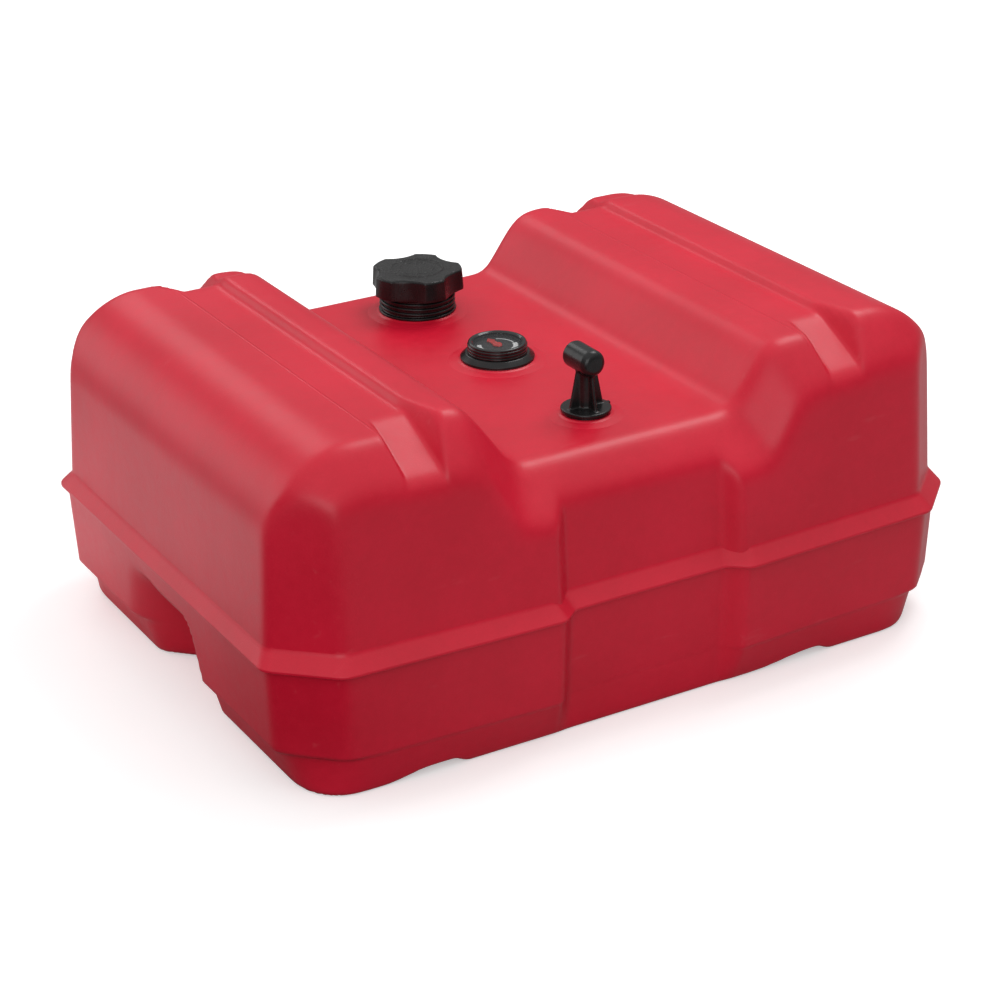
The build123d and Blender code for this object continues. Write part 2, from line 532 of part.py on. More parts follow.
def gauge_strip() -> Part:
    """Flat strip, straight at both ends and twisted between, on a pivot pin."""
    start = FLOAT_BOTTOM_Z + FLOAT_H - 1
    end = start + FLOAT_TRAVEL + KEY_T + 2
    foot, head = ROD_FOOT_Z + FOOT_T + 0.5, SOCKET_Z + 4
    steps = 16
    heights = [start + (end - start) * i / steps for i in range(steps + 1)]
    section = Rectangle(STRIP_W, STRIP_T)
    twisted = loft([Pos(0, 0, z) * Rot(0, 0, strip_angle(z)) * section for z in heights])
    below = extrude(Pos(0, 0, foot) * section, amount=start - foot)
    above = extrude(Pos(0, 0, end) * Rot(0, 0, strip_angle(end)) * section, amount=head - end)
    return below + twisted + above + ring(SPINDLE_R, 0, ROD_FOOT_Z + 1, foot)


def gauge_rods() -> Part:
    return post(-ROD_X, 0, ROD_R, ROD_FOOT_Z, WEB_Z) + post(ROD_X, 0, ROD_R, ROD_FOOT_Z, WEB_Z)


def gauge_foot() -> Part:
    """Oval plate at the rods' lower end with the strip's pivot hole."""
    plate = ring(FOOT_R, SPINDLE_R + SLIP, ROD_FOOT_Z, ROD_FOOT_Z + FOOT_T)
    plate &= Pos(0, 0, ROD_FOOT_Z + FOOT_T / 2) * Box(2 * FOOT_R, 12, FOOT_T)
    for x in (-ROD_X, ROD_X):
        plate -= post(x, 0, ROD_R + SLIP, ROD_FOOT_Z - 1, ROD_FOOT_Z + FOOT_T + 1)
    return plate


def gauge_float() -> Part:
    body = ring(FLOAT_R, FLOAT_BORE_R, FLOAT_BOTTOM_Z, FLOAT_BOTTOM_Z + FLOAT_H)
    for x in (-ROD_X, ROD_X):
        body -= post(x, 0, ROD_R + ROD_SLIP, FLOAT_BOTTOM_Z - 1, FLOAT_BOTTOM_Z + FLOAT_H + 1)
    return body


def float_key() -> Part:
    """Slotted plate on the float that turns the strip as it rises."""
    top = FLOAT_BOTTOM_Z + FLOAT_H
    key = ring(KEY_R, 0, top, top + KEY_T)
    turn = strip_angle(top + KEY_T / 2)
    slot = Rot(0, 0, turn) * Box(STRIP_W + 2 * GAP, KEY_SLOT_W, 2 * KEY_T + 2)
    return key - Pos(0, 0, top) * slot


# ================================================================ pickup
def pickup_bushing() -> Part:
    return turned([
        (BUSHING_BORE_R, BUSHING_Z), (BUSHING_R, BUSHING_Z), (BUSHING_R, DECK_Z),
        (BUSHING_FLANGE_R, DECK_Z), (BUSHING_FLANGE_R, DECK_Z + BUSHING_FLANGE_T),
        (BUSHING_BORE_R, DECK_Z + BUSHING_FLANGE_T),
    ])


def pickup_seal() -> Part:
    middle_r = BUSHING_BORE_R - SLIP - SEAL_WIRE_R
    return Pos(0, 0, SEAL_Z) * Torus(middle_r, SEAL_WIRE_R)


def pickup_clip() -> Part:
    """Open ring in the groove below the bushing."""
    clip = ring(CLIP_R, CLIP_GROOVE_R + SLIP, CLIP_Z, CLIP_Z + CLIP_T)
    return clip - Pos(CLIP_R, 0, CLIP_Z) * Box(CLIP_R, 7, 4)


def elbow_fins() -> Part:
    """Four tapering fins round the post's core."""
    foot_z = DECK_Z + BUSHING_FLANGE_T + GAP
    right = [(POST_FOOT_R, foot_z), (POST_NECK_R, BARREL_Z)]
    outline = right + [(-x, z) for x, z in reversed(right)]
    fins = prism_y(outline, -FIN_T / 2, FIN_T / 2)
    return fins + Rot(0, 0, 90) * prism_y(outline, -FIN_T / 2, FIN_T / 2)


def level_bar(radius: float, y0: float, y1: float) -> Part:
    """Round bar along Y at the barrel's height."""
    return Pos(0, (y0 + y1) / 2, BARREL_Z) * Rot(90, 0, 0) * Cylinder(radius, y1 - y0)


def pickup_elbow() -> Part:
    """Base disc, finned post and barrel in one, with the duct from the spigot to the hose port."""
    base_z = DECK_Z + BUSHING_FLANGE_T + GAP
    spigot_r = BUSHING_BORE_R - SLIP
    body = ring(ELBOW_BASE_R, 0, base_z, base_z + ELBOW_BASE_T)
    body += Pos(ELBOW_BASE_R + 0.6, 0, base_z + ELBOW_BASE_T / 2) * Box(2.4, 3.0, ELBOW_BASE_T)
    body += ring(spigot_r, 0, ELBOW_FOOT_Z, base_z)
    body += ring(POST_CORE_R, 0, base_z, BARREL_Z) + elbow_fins()
    barrel = level_bar(BARREL_R, -BARREL_FRONT, BARREL_BACK)
    body += fillet(barrel.edges().sort_by(Axis.Y)[0], BARREL_ROUND)
    body -= level_bar(PORT_R, BARREL_BACK - PORT_DEPTH, BARREL_BACK + 1)
    body -= level_bar(DUCT_R, 0, BARREL_BACK)
    body -= ring(DUCT_R, 0, CHECK_ROOF_Z - 1, BARREL_Z)
    body -= ring(CHECK_BORE_R, 0, ELBOW_FOOT_Z - 1, CHECK_ROOF_Z)
    body -= ring(spigot_r + 1, SEAL_GROOVE_R, SEAL_Z - 1.05 * SEAL_WIRE_R, SEAL_Z + 1.05 * SEAL_WIRE_R)
    return body - ring(spigot_r + 1, CLIP_GROOVE_R, CLIP_Z - SLIP, CLIP_Z + CLIP_T + SLIP)


def pickup_tube() -> Part:
    return ring(TUBE_R, TUBE_BORE_R, TUBE_FOOT_Z, SEAT_TOP_Z - SEAT_H)


def check_seat() -> Part:
    """Ring in the spigot that the ball closes, its mouth dished to the ball."""
    seat = ring(TUBE_R, BALL_SEAT_R, SEAT_TOP_Z - SEAT_H, SEAT_TOP_Z)
    return seat - Pos(0, 0, ball_z()) * Sphere(BALL_R + 0.01)


def ball_z() -> float:
    """Height of the ball's middle when it sits in the dish."""
    return SEAT_TOP_Z + 2.6


def check_ball() -> Part:
    return Pos(0, 0, ball_z()) * Sphere(BALL_R)


def check_spring() -> Part:
    return coil(CHECK_COIL_R, CHECK_WIRE_R, ball_z() + 3.0, CHECK_ROOF_Z, CHECK_TURNS)


def pickup_strainer() -> Part:
    """Closed slotted cup on the tube's lower end."""
    strainer = ring(STRAINER_R, TUBE_R + SLIP, STRAINER_FOOT_Z, STRAINER_FOOT_Z + STRAINER_H)
    strainer += ring(STRAINER_R, 0, STRAINER_FOOT_Z, STRAINER_FOOT_Z + 1.5)
    for i in range(STRAINER_SLOTS):
        slot = Pos(STRAINER_R, 0, STRAINER_FOOT_Z + 0.45 * STRAINER_H) * Box(9, 1.6, 0.6 * STRAINER_H)
        strainer -= Rot(0, 0, 360 * (i + 0.5) / STRAINER_SLOTS) * slot
    return strainer


# ================================================================ assembly
GROUPS = (
    (0.0, (tank_hump_left, tank_valley, tank_hump_right, tank_lower)),
    (CAP_Y, (filler_neck, cap_shell, cap_liner, cap_gasket)),
    (CAP_Y, (relief_poppet, relief_spring, relief_retainer, vacuum_valve)),
    (GAUGE_Y, (gauge_gasket, gauge_body, gauge_bezel, gauge_lens, gauge_dial, gauge_pointer)),
    (GAUGE_Y, (gauge_strip, gauge_rods, gauge_foot, gauge_float, float_key)),
    (PICKUP_Y, (pickup_bushing, pickup_seal, pickup_clip, pickup_elbow, pickup_tube)),
    (PICKUP_Y, (check_seat, check_ball, check_spring, pickup_strainer)),
)

if __name__ == "__main__":
    for y, makers in GROUPS:
        for maker in makers:
            export_step(Pos(0, y) * maker(), f"parts/{maker.__name__}.step")
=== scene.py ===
"""Looks for a portable outboard fuel tank: moulded shell, screw cap, float gauge, fuel pickup and studio.

Lengths in the classes are millimetres in the tank's own frame; meshes are metres.
"""
import json
import logging
from dataclasses import dataclass, field, fields
from enum import Enum
from math import cos, hypot, pi, radians, sin, tan
from typing import Any, Callable, Iterable, Optional, Union

import bpy
import numpy as np
from mathutils import Matrix

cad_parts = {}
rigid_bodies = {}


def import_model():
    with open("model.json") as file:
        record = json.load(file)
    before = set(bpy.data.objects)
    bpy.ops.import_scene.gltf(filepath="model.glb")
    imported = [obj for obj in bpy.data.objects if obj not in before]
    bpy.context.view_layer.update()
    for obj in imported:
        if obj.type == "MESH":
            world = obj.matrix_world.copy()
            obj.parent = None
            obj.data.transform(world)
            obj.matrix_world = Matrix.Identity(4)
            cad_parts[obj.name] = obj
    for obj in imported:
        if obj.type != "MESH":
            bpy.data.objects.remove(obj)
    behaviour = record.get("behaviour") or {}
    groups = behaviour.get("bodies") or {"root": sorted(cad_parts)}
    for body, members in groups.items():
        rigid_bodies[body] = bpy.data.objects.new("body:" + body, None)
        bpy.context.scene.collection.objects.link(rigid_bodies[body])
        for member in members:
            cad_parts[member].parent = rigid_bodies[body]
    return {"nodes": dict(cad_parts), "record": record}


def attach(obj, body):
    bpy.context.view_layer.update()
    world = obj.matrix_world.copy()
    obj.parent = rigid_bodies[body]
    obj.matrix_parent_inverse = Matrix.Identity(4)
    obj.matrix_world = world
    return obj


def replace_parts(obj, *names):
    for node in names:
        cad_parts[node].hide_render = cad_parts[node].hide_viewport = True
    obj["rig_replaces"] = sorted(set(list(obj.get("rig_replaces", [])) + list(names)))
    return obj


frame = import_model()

MM = 0.001
CAP_Y, GAUGE_Y, PICKUP_Y = 127.5, -1.0, -129.5
DECK_Z = 209.6
log = logging.getLogger("fuel_tank")
Number = Union[float, "Term"]
Colour = tuple[float, float, float]


# ---------------------------------------------------------------- node graphs
@dataclass(frozen=True)
class Term:
    """A value flowing through a node tree; arithmetic on it adds Math nodes."""

    graph: "Graph"
    socket: bpy.types.NodeSocket

    def __add__(self, other: Number) -> "Term":
        """Sum."""
        return self.graph.math("ADD", self, other)

    def __sub__(self, other: Number) -> "Term":
        """Difference."""
        return self.graph.math("SUBTRACT", self, other)

    def __mul__(self, other: Number) -> "Term":
        """Product."""
        return self.graph.math("MULTIPLY", self, other)

    def __truediv__(self, other: Number) -> "Term":
        """Quotient."""
        return self.graph.math("DIVIDE", self, other)

    def __rsub__(self, other: float) -> "Term":
        """Difference from a number."""
        return self.graph.math("SUBTRACT", other, self)

    def __neg__(self) -> "Term":
        """Negative."""
        return self.graph.math("MULTIPLY", self, -1.0)

    def __abs__(self) -> "Term":
        """Size without sign."""
        return self.graph.math("ABSOLUTE", self)

    __radd__ = __add__
    __rmul__ = __mul__


class Graph:
    """A node tree that is filled from Python expressions."""

    def __init__(self, tree: bpy.types.NodeTree) -> None:
        """Starts with an empty tree."""
        self.tree = tree
        tree.nodes.clear()

    def node(self, kind: str, settings: Optional[dict[str, Any]] = None,
             inputs: Optional[dict[Any, Any]] = None) -> bpy.types.Node:
        """Adds a node.

        Args:
            kind: Blender's node type.
            settings: attributes set first, such as a Math node's operation.
            inputs: socket name or place to a value, a Term or a socket.

        Returns:
            The new node.
        """
        node = self.tree.nodes.new(kind)
        for name, value in (settings or {}).items():
            setattr(node, name, value)
        for key, value in (inputs or {}).items():
            self.feed(node.inputs[key], value)
        return node

    def feed(self, socket: bpy.types.NodeSocket, value: Any) -> None:
        """Links or sets one input socket.

        Args:
            socket: the input.
            value: a Term or an output socket to link, or a plain value to set.
        """
        if isinstance(value, Term):
            self.tree.links.new(value.socket, socket)
        elif isinstance(value, bpy.types.NodeSocket):
            self.tree.links.new(value, socket)
        else:
            socket.default_value = value

    def term(self, kind: str, settings: Optional[dict[str, Any]] = None,
             inputs: Optional[dict[Any, Any]] = None, output: Union[int, str] = 0) -> Term:
        """Adds a node and wraps one of its outputs."""
        return Term(self, self.node(kind, settings, inputs).outputs[output])

    def math(self, operation: str, *values: Number) -> Term:
        """Adds a Math node."""
        return self.term("ShaderNodeMath", {"operation": operation}, dict(enumerate(values)))

    def vector(self, operation: str, *values: Any) -> Term:
        """Adds a Vector Math node with a vector result."""
        return self.term("ShaderNodeVectorMath", {"operation": operation}, dict(enumerate(values)))

    def scaled(self, vector: Term, factor: Number) -> Term:
        """A vector times a number."""
        return self.term("ShaderNodeVectorMath", {"operation": "SCALE"}, {0: vector, "Scale": factor})

    def parts(self, vector: Term) -> tuple[Term, Term, Term]:
        """X, Y and Z of a vector."""
        split = self.node("ShaderNodeSeparateXYZ", None, {0: vector})
        return tuple(Term(self, out) for out in split.outputs)

    def highest(self, a: Number, b: Number, soft: Number = 0.0) -> Term:
        """Larger of two values.

        Args:
            a: first value.
            b: second value.
            soft: width over which the corner between them is softened.

        Returns:
            The larger value.
        """
        if not isinstance(soft, Term) and soft <= 0:
            return self.math("MAXIMUM", a, b)
        return self.math("SMOOTH_MAX", a, b, soft)

    def lowest(self, a: Number, b: Number, soft: float = 0.0) -> Term:
        """Smaller of two values.

        Args:
            a: first value.
            b: second value.
            soft: width over which the corner between them is softened.

        Returns:
            The smaller value.
        """
        if soft <= 0:
            return self.math("MINIMUM", a, b)
        return self.math("SMOOTH_MIN", a, b, soft)

    def rounded(self, a: Term, b: Term, radius: Number) -> Term:
        """Joins two surfaces at right angles by a circular edge.

        Args:
            a: distance beyond the first surface.
            b: distance beyond the second surface.
            radius: of the edge.

        Returns:
            Distance beyond the rounded pair.
        """
        a_in, b_in = a + radius, b + radius
        a_out, b_out = self.highest(a_in, 0.0), self.highest(b_in, 0.0)
        arc = self.math("SQRT", a_out * a_out + b_out * b_out)
        return arc + self.lowest(self.highest(a_in, b_in), 0.0) - radius

    def ramp(self, value: Term, low: float, high: float, out_low: float = 0.0, out_high: float = 1.0) -> Term:
        """Smooth step from out_low to out_high while value goes from low to high."""
        return self.term("ShaderNodeMapRange", {"interpolation_type": "SMOOTHSTEP"},
                         {0: value, 1: low, 2: high, 3: out_low, 4: out_high})

    def blend(self, factor: Number, a: Any, b: Any) -> Term:
        """Mixes two colours."""
        node = self.node("ShaderNodeMix", {"data_type": "RGBA"}, {0: factor, 6: a, 7: b})
        return Term(self, node.outputs[2])


# ---------------------------------------------------------------- geometry nodes
class Form:
    """A Geometry Nodes tree with named sizes, evaluated once into a plain mesh."""

    def __init__(self, name: str, sizes: dict[str, float]) -> None:
        """Makes the tree and its inputs.

        Args:
            name: the tree's name.
            sizes: label and value of each size that the tree reads as an input.
        """
        self.tree = bpy.data.node_groups.new(name, "GeometryNodeTree")
        self.graph = Graph(self.tree)
        face = self.tree.interface
        face.new_socket("Geometry", in_out="OUTPUT", socket_type="NodeSocketGeometry")
        face.new_socket("Geometry", in_out="INPUT", socket_type="NodeSocketGeometry")
        self.identifiers = {}
        self.sizes = sizes
        for label in sizes:
            socket = face.new_socket(label, in_out="INPUT", socket_type="NodeSocketFloat")
            self.identifiers[label] = socket.identifier
        self.entry = self.graph.node("NodeGroupInput")

    def size(self, label: str) -> Term:
        """A named size as a Term."""
        return Term(self.graph, self.entry.outputs[label])

    def finish(self, geometry: Term, material: bpy.types.Material, smooth: bool = True) -> None:
        """Ends the tree in Realize Instances and Set Material.

        Args:
            geometry: what the tree has made.
            material: finish of every face.
            smooth: shade smooth.
        """
        g = self.graph
        shaded = g.term("GeometryNodeSetShadeSmooth", None, {"Geometry": geometry, "Shade Smooth": smooth})
        real = g.term("GeometryNodeRealizeInstances", None, {"Geometry": shaded})
        done = g.term("GeometryNodeSetMaterial", None, {"Geometry": real, "Material": material})
        g.node("NodeGroupOutput", None, {0: done})

    def mesh(self, start: Optional[bpy.types.Mesh] = None) -> bpy.types.Mesh:
        """Evaluates the tree.

        Args:
            start: mesh that the tree's Geometry input receives.

        Returns:
            A plain mesh.
        """
        holder = bpy.data.objects.new(self.tree.name, start or bpy.data.meshes.new(self.tree.name))
        bpy.context.scene.collection.objects.link(holder)
        modifier = holder.modifiers.new("form", "NODES")
        modifier.node_group = self.tree
        for label, value in self.sizes.items():
            modifier[self.identifiers[label]] = float(value)
        bpy.context.view_layer.update()
        evaluated = holder.evaluated_get(bpy.context.evaluated_depsgraph_get())
        result = bpy.data.meshes.new_from_object(evaluated)
        bpy.data.objects.remove(holder)
        bpy.data.node_groups.remove(self.tree)
        return result


# ---------------------------------------------------------------- mesh helpers
def softened(points: list[tuple[float, float, float]], steps: int = 6, closed: bool = True) -> np.ndarray:
    """Rounds the corners of an outline.

    Args:
        points: (u, v, radius) corners in order.
        steps: segments of each rounded corner.
        closed: whether the last corner joins the first.

    Returns:
        An N x 2 array of points.
    """
    result = []
    count = len(points)
    for i, (u, v, radius) in enumerate(points):
        here = np.array([u, v])
        if radius <= 0 or (not closed and i in (0, count - 1)):
            result.append(here)
            continue
        before = np.array(points[i - 1][:2]) - here
        after = np.array(points[(i + 1) % count][:2]) - here
        back, ahead = before / np.linalg.norm(before), after / np.linalg.norm(after)
        half = np.arccos(np.clip(back @ ahead, -1, 1)) / 2
        reach = min(radius / tan(half), 0.49 * np.linalg.norm(before), 0.49 * np.linalg.norm(after))
        true_r = reach * tan(half)
        centre = here + (back + ahead) / np.linalg.norm(back + ahead) * (true_r / sin(half))
        start, end = here + back * reach - centre, here + ahead * reach - centre
        sweep = np.arctan2(start[0] * end[1] - start[1] * end[0], start @ end)
        for k in range(steps + 1):
            a = sweep * k / steps
            turn = np.array([[cos(a), -sin(a)], [sin(a), cos(a)]])
            result.append(centre + turn @ start)
    return np.array(result)


def mesh_from(name: str, vertices: np.ndarray, faces: list[tuple[int, ...]]) -> bpy.types.Mesh:
    """A smooth-shaded mesh from millimetre vertices.

    Args:
        name: the mesh's name.
        vertices: N x 3 places in millimetres.
        faces: vertex places of each face.

    Returns:
        The mesh, in metres.
    """
    mesh = bpy.data.meshes.new(name)
    mesh.from_pydata((np.asarray(vertices, float) * MM).tolist(), [], faces)
    mesh.validate()
    mesh.polygons.foreach_set("use_smooth", np.ones(len(mesh.polygons), bool))
    mesh.update()
    return mesh


def ring_faces(rows: int, around: int, closed_rows: bool = False) -> list[tuple[int, ...]]:
    """Quads between rings of vertices, outward for an outline that runs up its outer side.

    Args:
        rows: number of rings.
        around: vertices in each ring.
        closed_rows: whether the last ring joins the first.

    Returns:
        Faces as vertex places.
    """
    faces = []
    for i in range(rows if closed_rows else rows - 1):
        low, high = i * around, ((i + 1) % rows) * around
        for j in range(around):
            k = (j + 1) % around
            faces.append((low + j, low + k, high + k, high + j))
    return faces


def turned(name: str, outline: np.ndarray, around: int = 128,
           radius_at: Optional[Callable[[np.ndarray, np.ndarray, int], np.ndarray]] = None) -> bpy.types.Mesh:
    """Turns an (r, z) outline about Z.

    Args:
        name: the mesh's name.
        outline: N x 2 outline; ends on the axis are closed with a fan, others join into a closed ring.
        around: segments of a turn.
        radius_at: optional change of a ring's radii from (angles, radii, row).

    Returns:
        A closed mesh with outward faces.
    """
    outline = np.asarray(outline, float)
    angles = np.arange(around) * 2 * pi / around
    capped = outline[0, 0] < 1e-6 and outline[-1, 0] < 1e-6
    body = outline[1:-1] if capped else outline
    rows = []
    for row, (r, z) in enumerate(body):
        radii = np.full(around, r)
        if radius_at is not None:
            radii = radius_at(angles, radii, row)
        rows.append(np.column_stack([radii * np.cos(angles), radii * np.sin(angles), np.full(around, z)]))
    vertices = np.concatenate(rows)
    faces = ring_faces(len(body), around, closed_rows=not capped)
    if capped:
        vertices = np.concatenate([vertices, [[0, 0, outline[0, 1]], [0, 0, outline[-1, 1]]]])
        first, last, top = len(vertices) - 2, len(vertices) - 1, (len(body) - 1) * around
        for j in range(around):
            k = (j + 1) % around
            faces += [(first, k, j), (last, top + j, top + k)]
    return mesh_from(name, vertices, faces)


def moved(mesh: bpy.types.Mesh, x: float = 0.0, y: float = 0.0, z: float = 0.0) -> bpy.types.Mesh:
    """Shifts a mesh by millimetres."""
    mesh.transform(Matrix.Translation((x * MM, y * MM, z * MM)))
    return mesh


def joined(name: str, meshes: list[bpy.types.Mesh]) -> bpy.types.Mesh:
    """Puts several meshes into one.

    Args:
        name: the new mesh's name.
        meshes: closed meshes, each in place.

    Returns:
        One mesh with all their faces.
    """
    vertices, faces, base = [], [], 0
    for mesh in meshes:
        vertices += [tuple(v.co / MM) for v in mesh.vertices]
        faces += [tuple(base + i for i in p.vertices) for p in mesh.polygons]
        base += len(mesh.vertices)
    return mesh_from(name, np.array(vertices), faces)


def piece(mesh: bpy.types.Mesh, material: bpy.types.Material, body: str,
          replaces: Iterable[str] = (), sharp: Optional[float] = None) -> bpy.types.Object:
    """Makes a finished piece that rides on a body.

    Args:
        mesh: its final mesh, in place.
        material: its finish.
        body: CAD body that it moves with.
        replaces: CAD nodes that it stands for.
        sharp: edges steeper than this many degrees stay crisp.

    Returns:
        The new object.
    """
    if sharp is not None:
        mesh.set_sharp_from_angle(angle=radians(sharp))
    mesh.materials.clear()
    mesh.materials.append(material)
    thing = bpy.data.objects.new(mesh.name, mesh)
    bpy.context.scene.collection.objects.link(thing)
    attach(thing, body)
    if replaces:
        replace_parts(thing, *replaces)
    log.info("%s: %d faces on %s", thing.name, len(mesh.polygons), body)
    return thing


# ---------------------------------------------------------------- finishes
class Paint(Graph):
    """A material under construction round one Principled shader."""

    def __init__(self, name: str) -> None:
        """Makes the material, its shader and its output.

        Args:
            name: the material's name.
        """
        self.material = bpy.data.materials.new(name)
        self.material.use_nodes = True
        super().__init__(self.material.node_tree)
        self.shader = self.node("ShaderNodeBsdfPrincipled")
        self.node("ShaderNodeOutputMaterial", None, {"Surface": self.shader.outputs[0]})
        coordinates = self.node("ShaderNodeTexCoord")
        self.place = Term(self, coordinates.outputs["Object"])

    def centred(self, x: float = 0.0, y: float = 0.0, z: float = 0.0) -> tuple[Term, Term, Term]:
        """Millimetre coordinates about a centre given in millimetres."""
        mapping = self.node("ShaderNodeMapping", None, {
            "Vector": self.place, "Location": (-x, -y, -z), "Scale": (1 / MM, 1 / MM, 1 / MM)})
        return self.parts(Term(self, mapping.outputs[0]))

    def noise(self, size: float, detail: float = 2.0, stretch: Colour = (1.0, 1.0, 1.0),
              seed: float = 0.0) -> Term:
        """Cloud pattern whose features are about size millimetres across."""
        mapping = self.node("ShaderNodeMapping", None, {
            "Vector": self.place, "Location": (seed, seed, seed), "Scale": stretch})
        return self.term("ShaderNodeTexNoise", None, {
            "Vector": mapping.outputs[0], "Scale": 1 / (size * MM), "Detail": detail})

    def grains(self, size: float, seed: float = 0.0) -> Term:
        """Distance to scattered points about size millimetres apart."""
        mapping = self.node("ShaderNodeMapping", None, {"Vector": self.place, "Location": (seed, seed, seed)})
        return self.term("ShaderNodeTexVoronoi", None, {
            "Vector": mapping.outputs[0], "Scale": 1 / (size * MM)})

    def relief(self, height: Term, depth: float) -> None:
        """Raises the surface by height times depth millimetres."""
        bump = self.node("ShaderNodeBump", None, {"Strength": 1.0, "Distance": depth * MM, "Height": height})
        self.feed(self.shader.inputs["Normal"], bump.outputs[0])

    def dress(self, **sockets: Any) -> bpy.types.Material:
        """Feeds the shader's sockets.

        Args:
            sockets: a value, colour or Term for each socket; underscores stand for spaces.

        Returns:
            The finished material.
        """
        for name, value in sockets.items():
            if isinstance(value, tuple) and len(value) == 3:
                value = (*value, 1.0)
            self.feed(self.shader.inputs[name.replace("_", " ")], value)
        return self.material


def opaque(colour: Colour) -> tuple[float, float, float, float]:
    """A colour with full alpha."""
    return (*colour, 1.0)


@dataclass(frozen=True)
class MouldedRed:
    """Satin red polyethylene, blow-moulded: faint clouds, fine skin texture, a few scuffs."""

    deep: Colour = (0.55, 0.004, 0.023)
    bright: Colour = (0.65, 0.006, 0.031)
    roughness: float = 0.38
    grain: float = 1.1
    peel: float = 16.0
    seams: tuple[float, float] = (-197.7, 157.5)

    def material(self) -> bpy.types.Material:
        """Builds the material.

        Returns:
            The finished material.
        """
        p = Paint("moulded_red")
        clouds = p.noise(90.0, 3.0)
        mottle = p.noise(7.0, 3.0, seed=3.0)
        grain, peel = p.noise(self.grain, 3.0), p.noise(self.peel, 1.0, seed=7.0)
        scuff = p.ramp(p.noise(14.0, 5.0, (0.25, 1.6, 1.0), seed=5.0), 0.66, 0.74)
        specks = p.ramp(p.grains(7.0), 0.0, 0.06, 1.0, 0.0)
        dust = p.ramp(p.noise(1.6, 2.0, seed=11.0), 0.60, 0.72)
        x, _, z = p.centred()
        seam = p.lowest(abs(x - self.seams[0]), abs(x - self.seams[1]))
        groove = p.ramp(seam, 0.3, 1.1, 1.0, 0.0) * p.ramp(z, 246.0, 250.0)
        tone = p.ramp(clouds * 0.6 + mottle * 0.2 + grain * 0.2, 0.3, 0.7)
        red = p.blend(tone, opaque(self.deep), opaque(self.bright))
        worn = p.blend(scuff * 0.10 + specks * 0.30 + dust * 0.035, red, opaque((0.66, 0.14, 0.15)))
        p.relief(grain * 0.55 + peel * 0.9 + mottle * 0.3 - scuff * 0.10 + groove * 1.6, 0.14)
        return p.dress(Base_Color=worn, Roughness=self.roughness - 0.05 + mottle * 0.10 + scuff * 0.08,
                       IOR=1.52, Specular_IOR_Level=0.36)


class BlackTexture(Enum):
    """Skin of a black moulding."""

    SATIN = "satin"
    SANDED = "sanded"
    POLISHED = "polished"


@dataclass(frozen=True)
class MouldedBlack:
    """Black moulded plastic; the sanded sort has a grained crown above a height."""

    texture: BlackTexture = BlackTexture.SATIN
    colour: Colour = (0.007, 0.0068, 0.007)
    worn: Colour = (0.022, 0.022, 0.023)
    roughness: float = 0.24
    sanded_above: float = 243.8

    def material(self) -> bpy.types.Material:
        """Builds the material.

        Returns:
            The finished material.
        """
        p = Paint(f"black_{self.texture.value}")
        clouds, fine = p.noise(11.0, 4.0), p.noise(0.7, 2.0, seed=2.0)
        smear = p.noise(6.0, 5.0, (1.0, 1.0, 0.3), seed=4.0)
        tone = p.blend(p.ramp(clouds, 0.35, 0.75) * 0.45, opaque(self.colour), opaque(self.worn))
        rough = self.roughness - 0.06 + smear * 0.16
        if self.texture is BlackTexture.SANDED:
            _, _, z = p.centred()
            top = p.ramp(z, self.sanded_above - 0.3, self.sanded_above + 0.5)
            sand = p.ramp(p.noise(1.3, 3.0, seed=9.0), 0.40, 0.64)
            tone = p.blend(top * (0.08 + sand * 0.62), tone, opaque((0.07, 0.068, 0.067)))
            rough = rough + top * 0.16
            p.relief(fine * 0.2 + top * sand * 1.9, 0.32)
        elif self.texture is BlackTexture.POLISHED:
            rough = 0.10 + smear * 0.12
            p.relief(clouds * 0.5 + fine * 0.05, 0.03)
        else:
            p.relief(fine * 0.6 + clouds * 0.5, 0.05)
        level = 0.5 if self.texture is BlackTexture.POLISHED else 0.32
        return p.dress(Base_Color=tone, Roughness=rough, IOR=1.5, Specular_IOR_Level=level)


@dataclass(frozen=True)
class PlainFinish:
    """A mottled plastic, rubber, foam or metal for the small and inner pieces."""

    name: str
    colour: Colour
    second: Colour
    roughness: float
    metallic: float = 0.0
    size: float = 4.0
    depth: float = 0.03
    stretch: Colour = (1.0, 1.0, 1.0)

    def material(self) -> bpy.types.Material:
        """Builds the material.

        Returns:
            The finished material.
        """
        p = Paint(self.name)
        broad = p.noise(self.size, 4.0, self.stretch)
        fine = p.noise(self.size / 6, 2.0, self.stretch, seed=6.0)
        tone = p.blend(p.ramp(broad, 0.3, 0.7), opaque(self.colour), opaque(self.second))
        p.relief(broad * 0.6 + fine * 0.4, self.depth)
        return p.dress(Base_Color=tone, Roughness=self.roughness - 0.04 + fine * 0.1, Metallic=self.metallic)


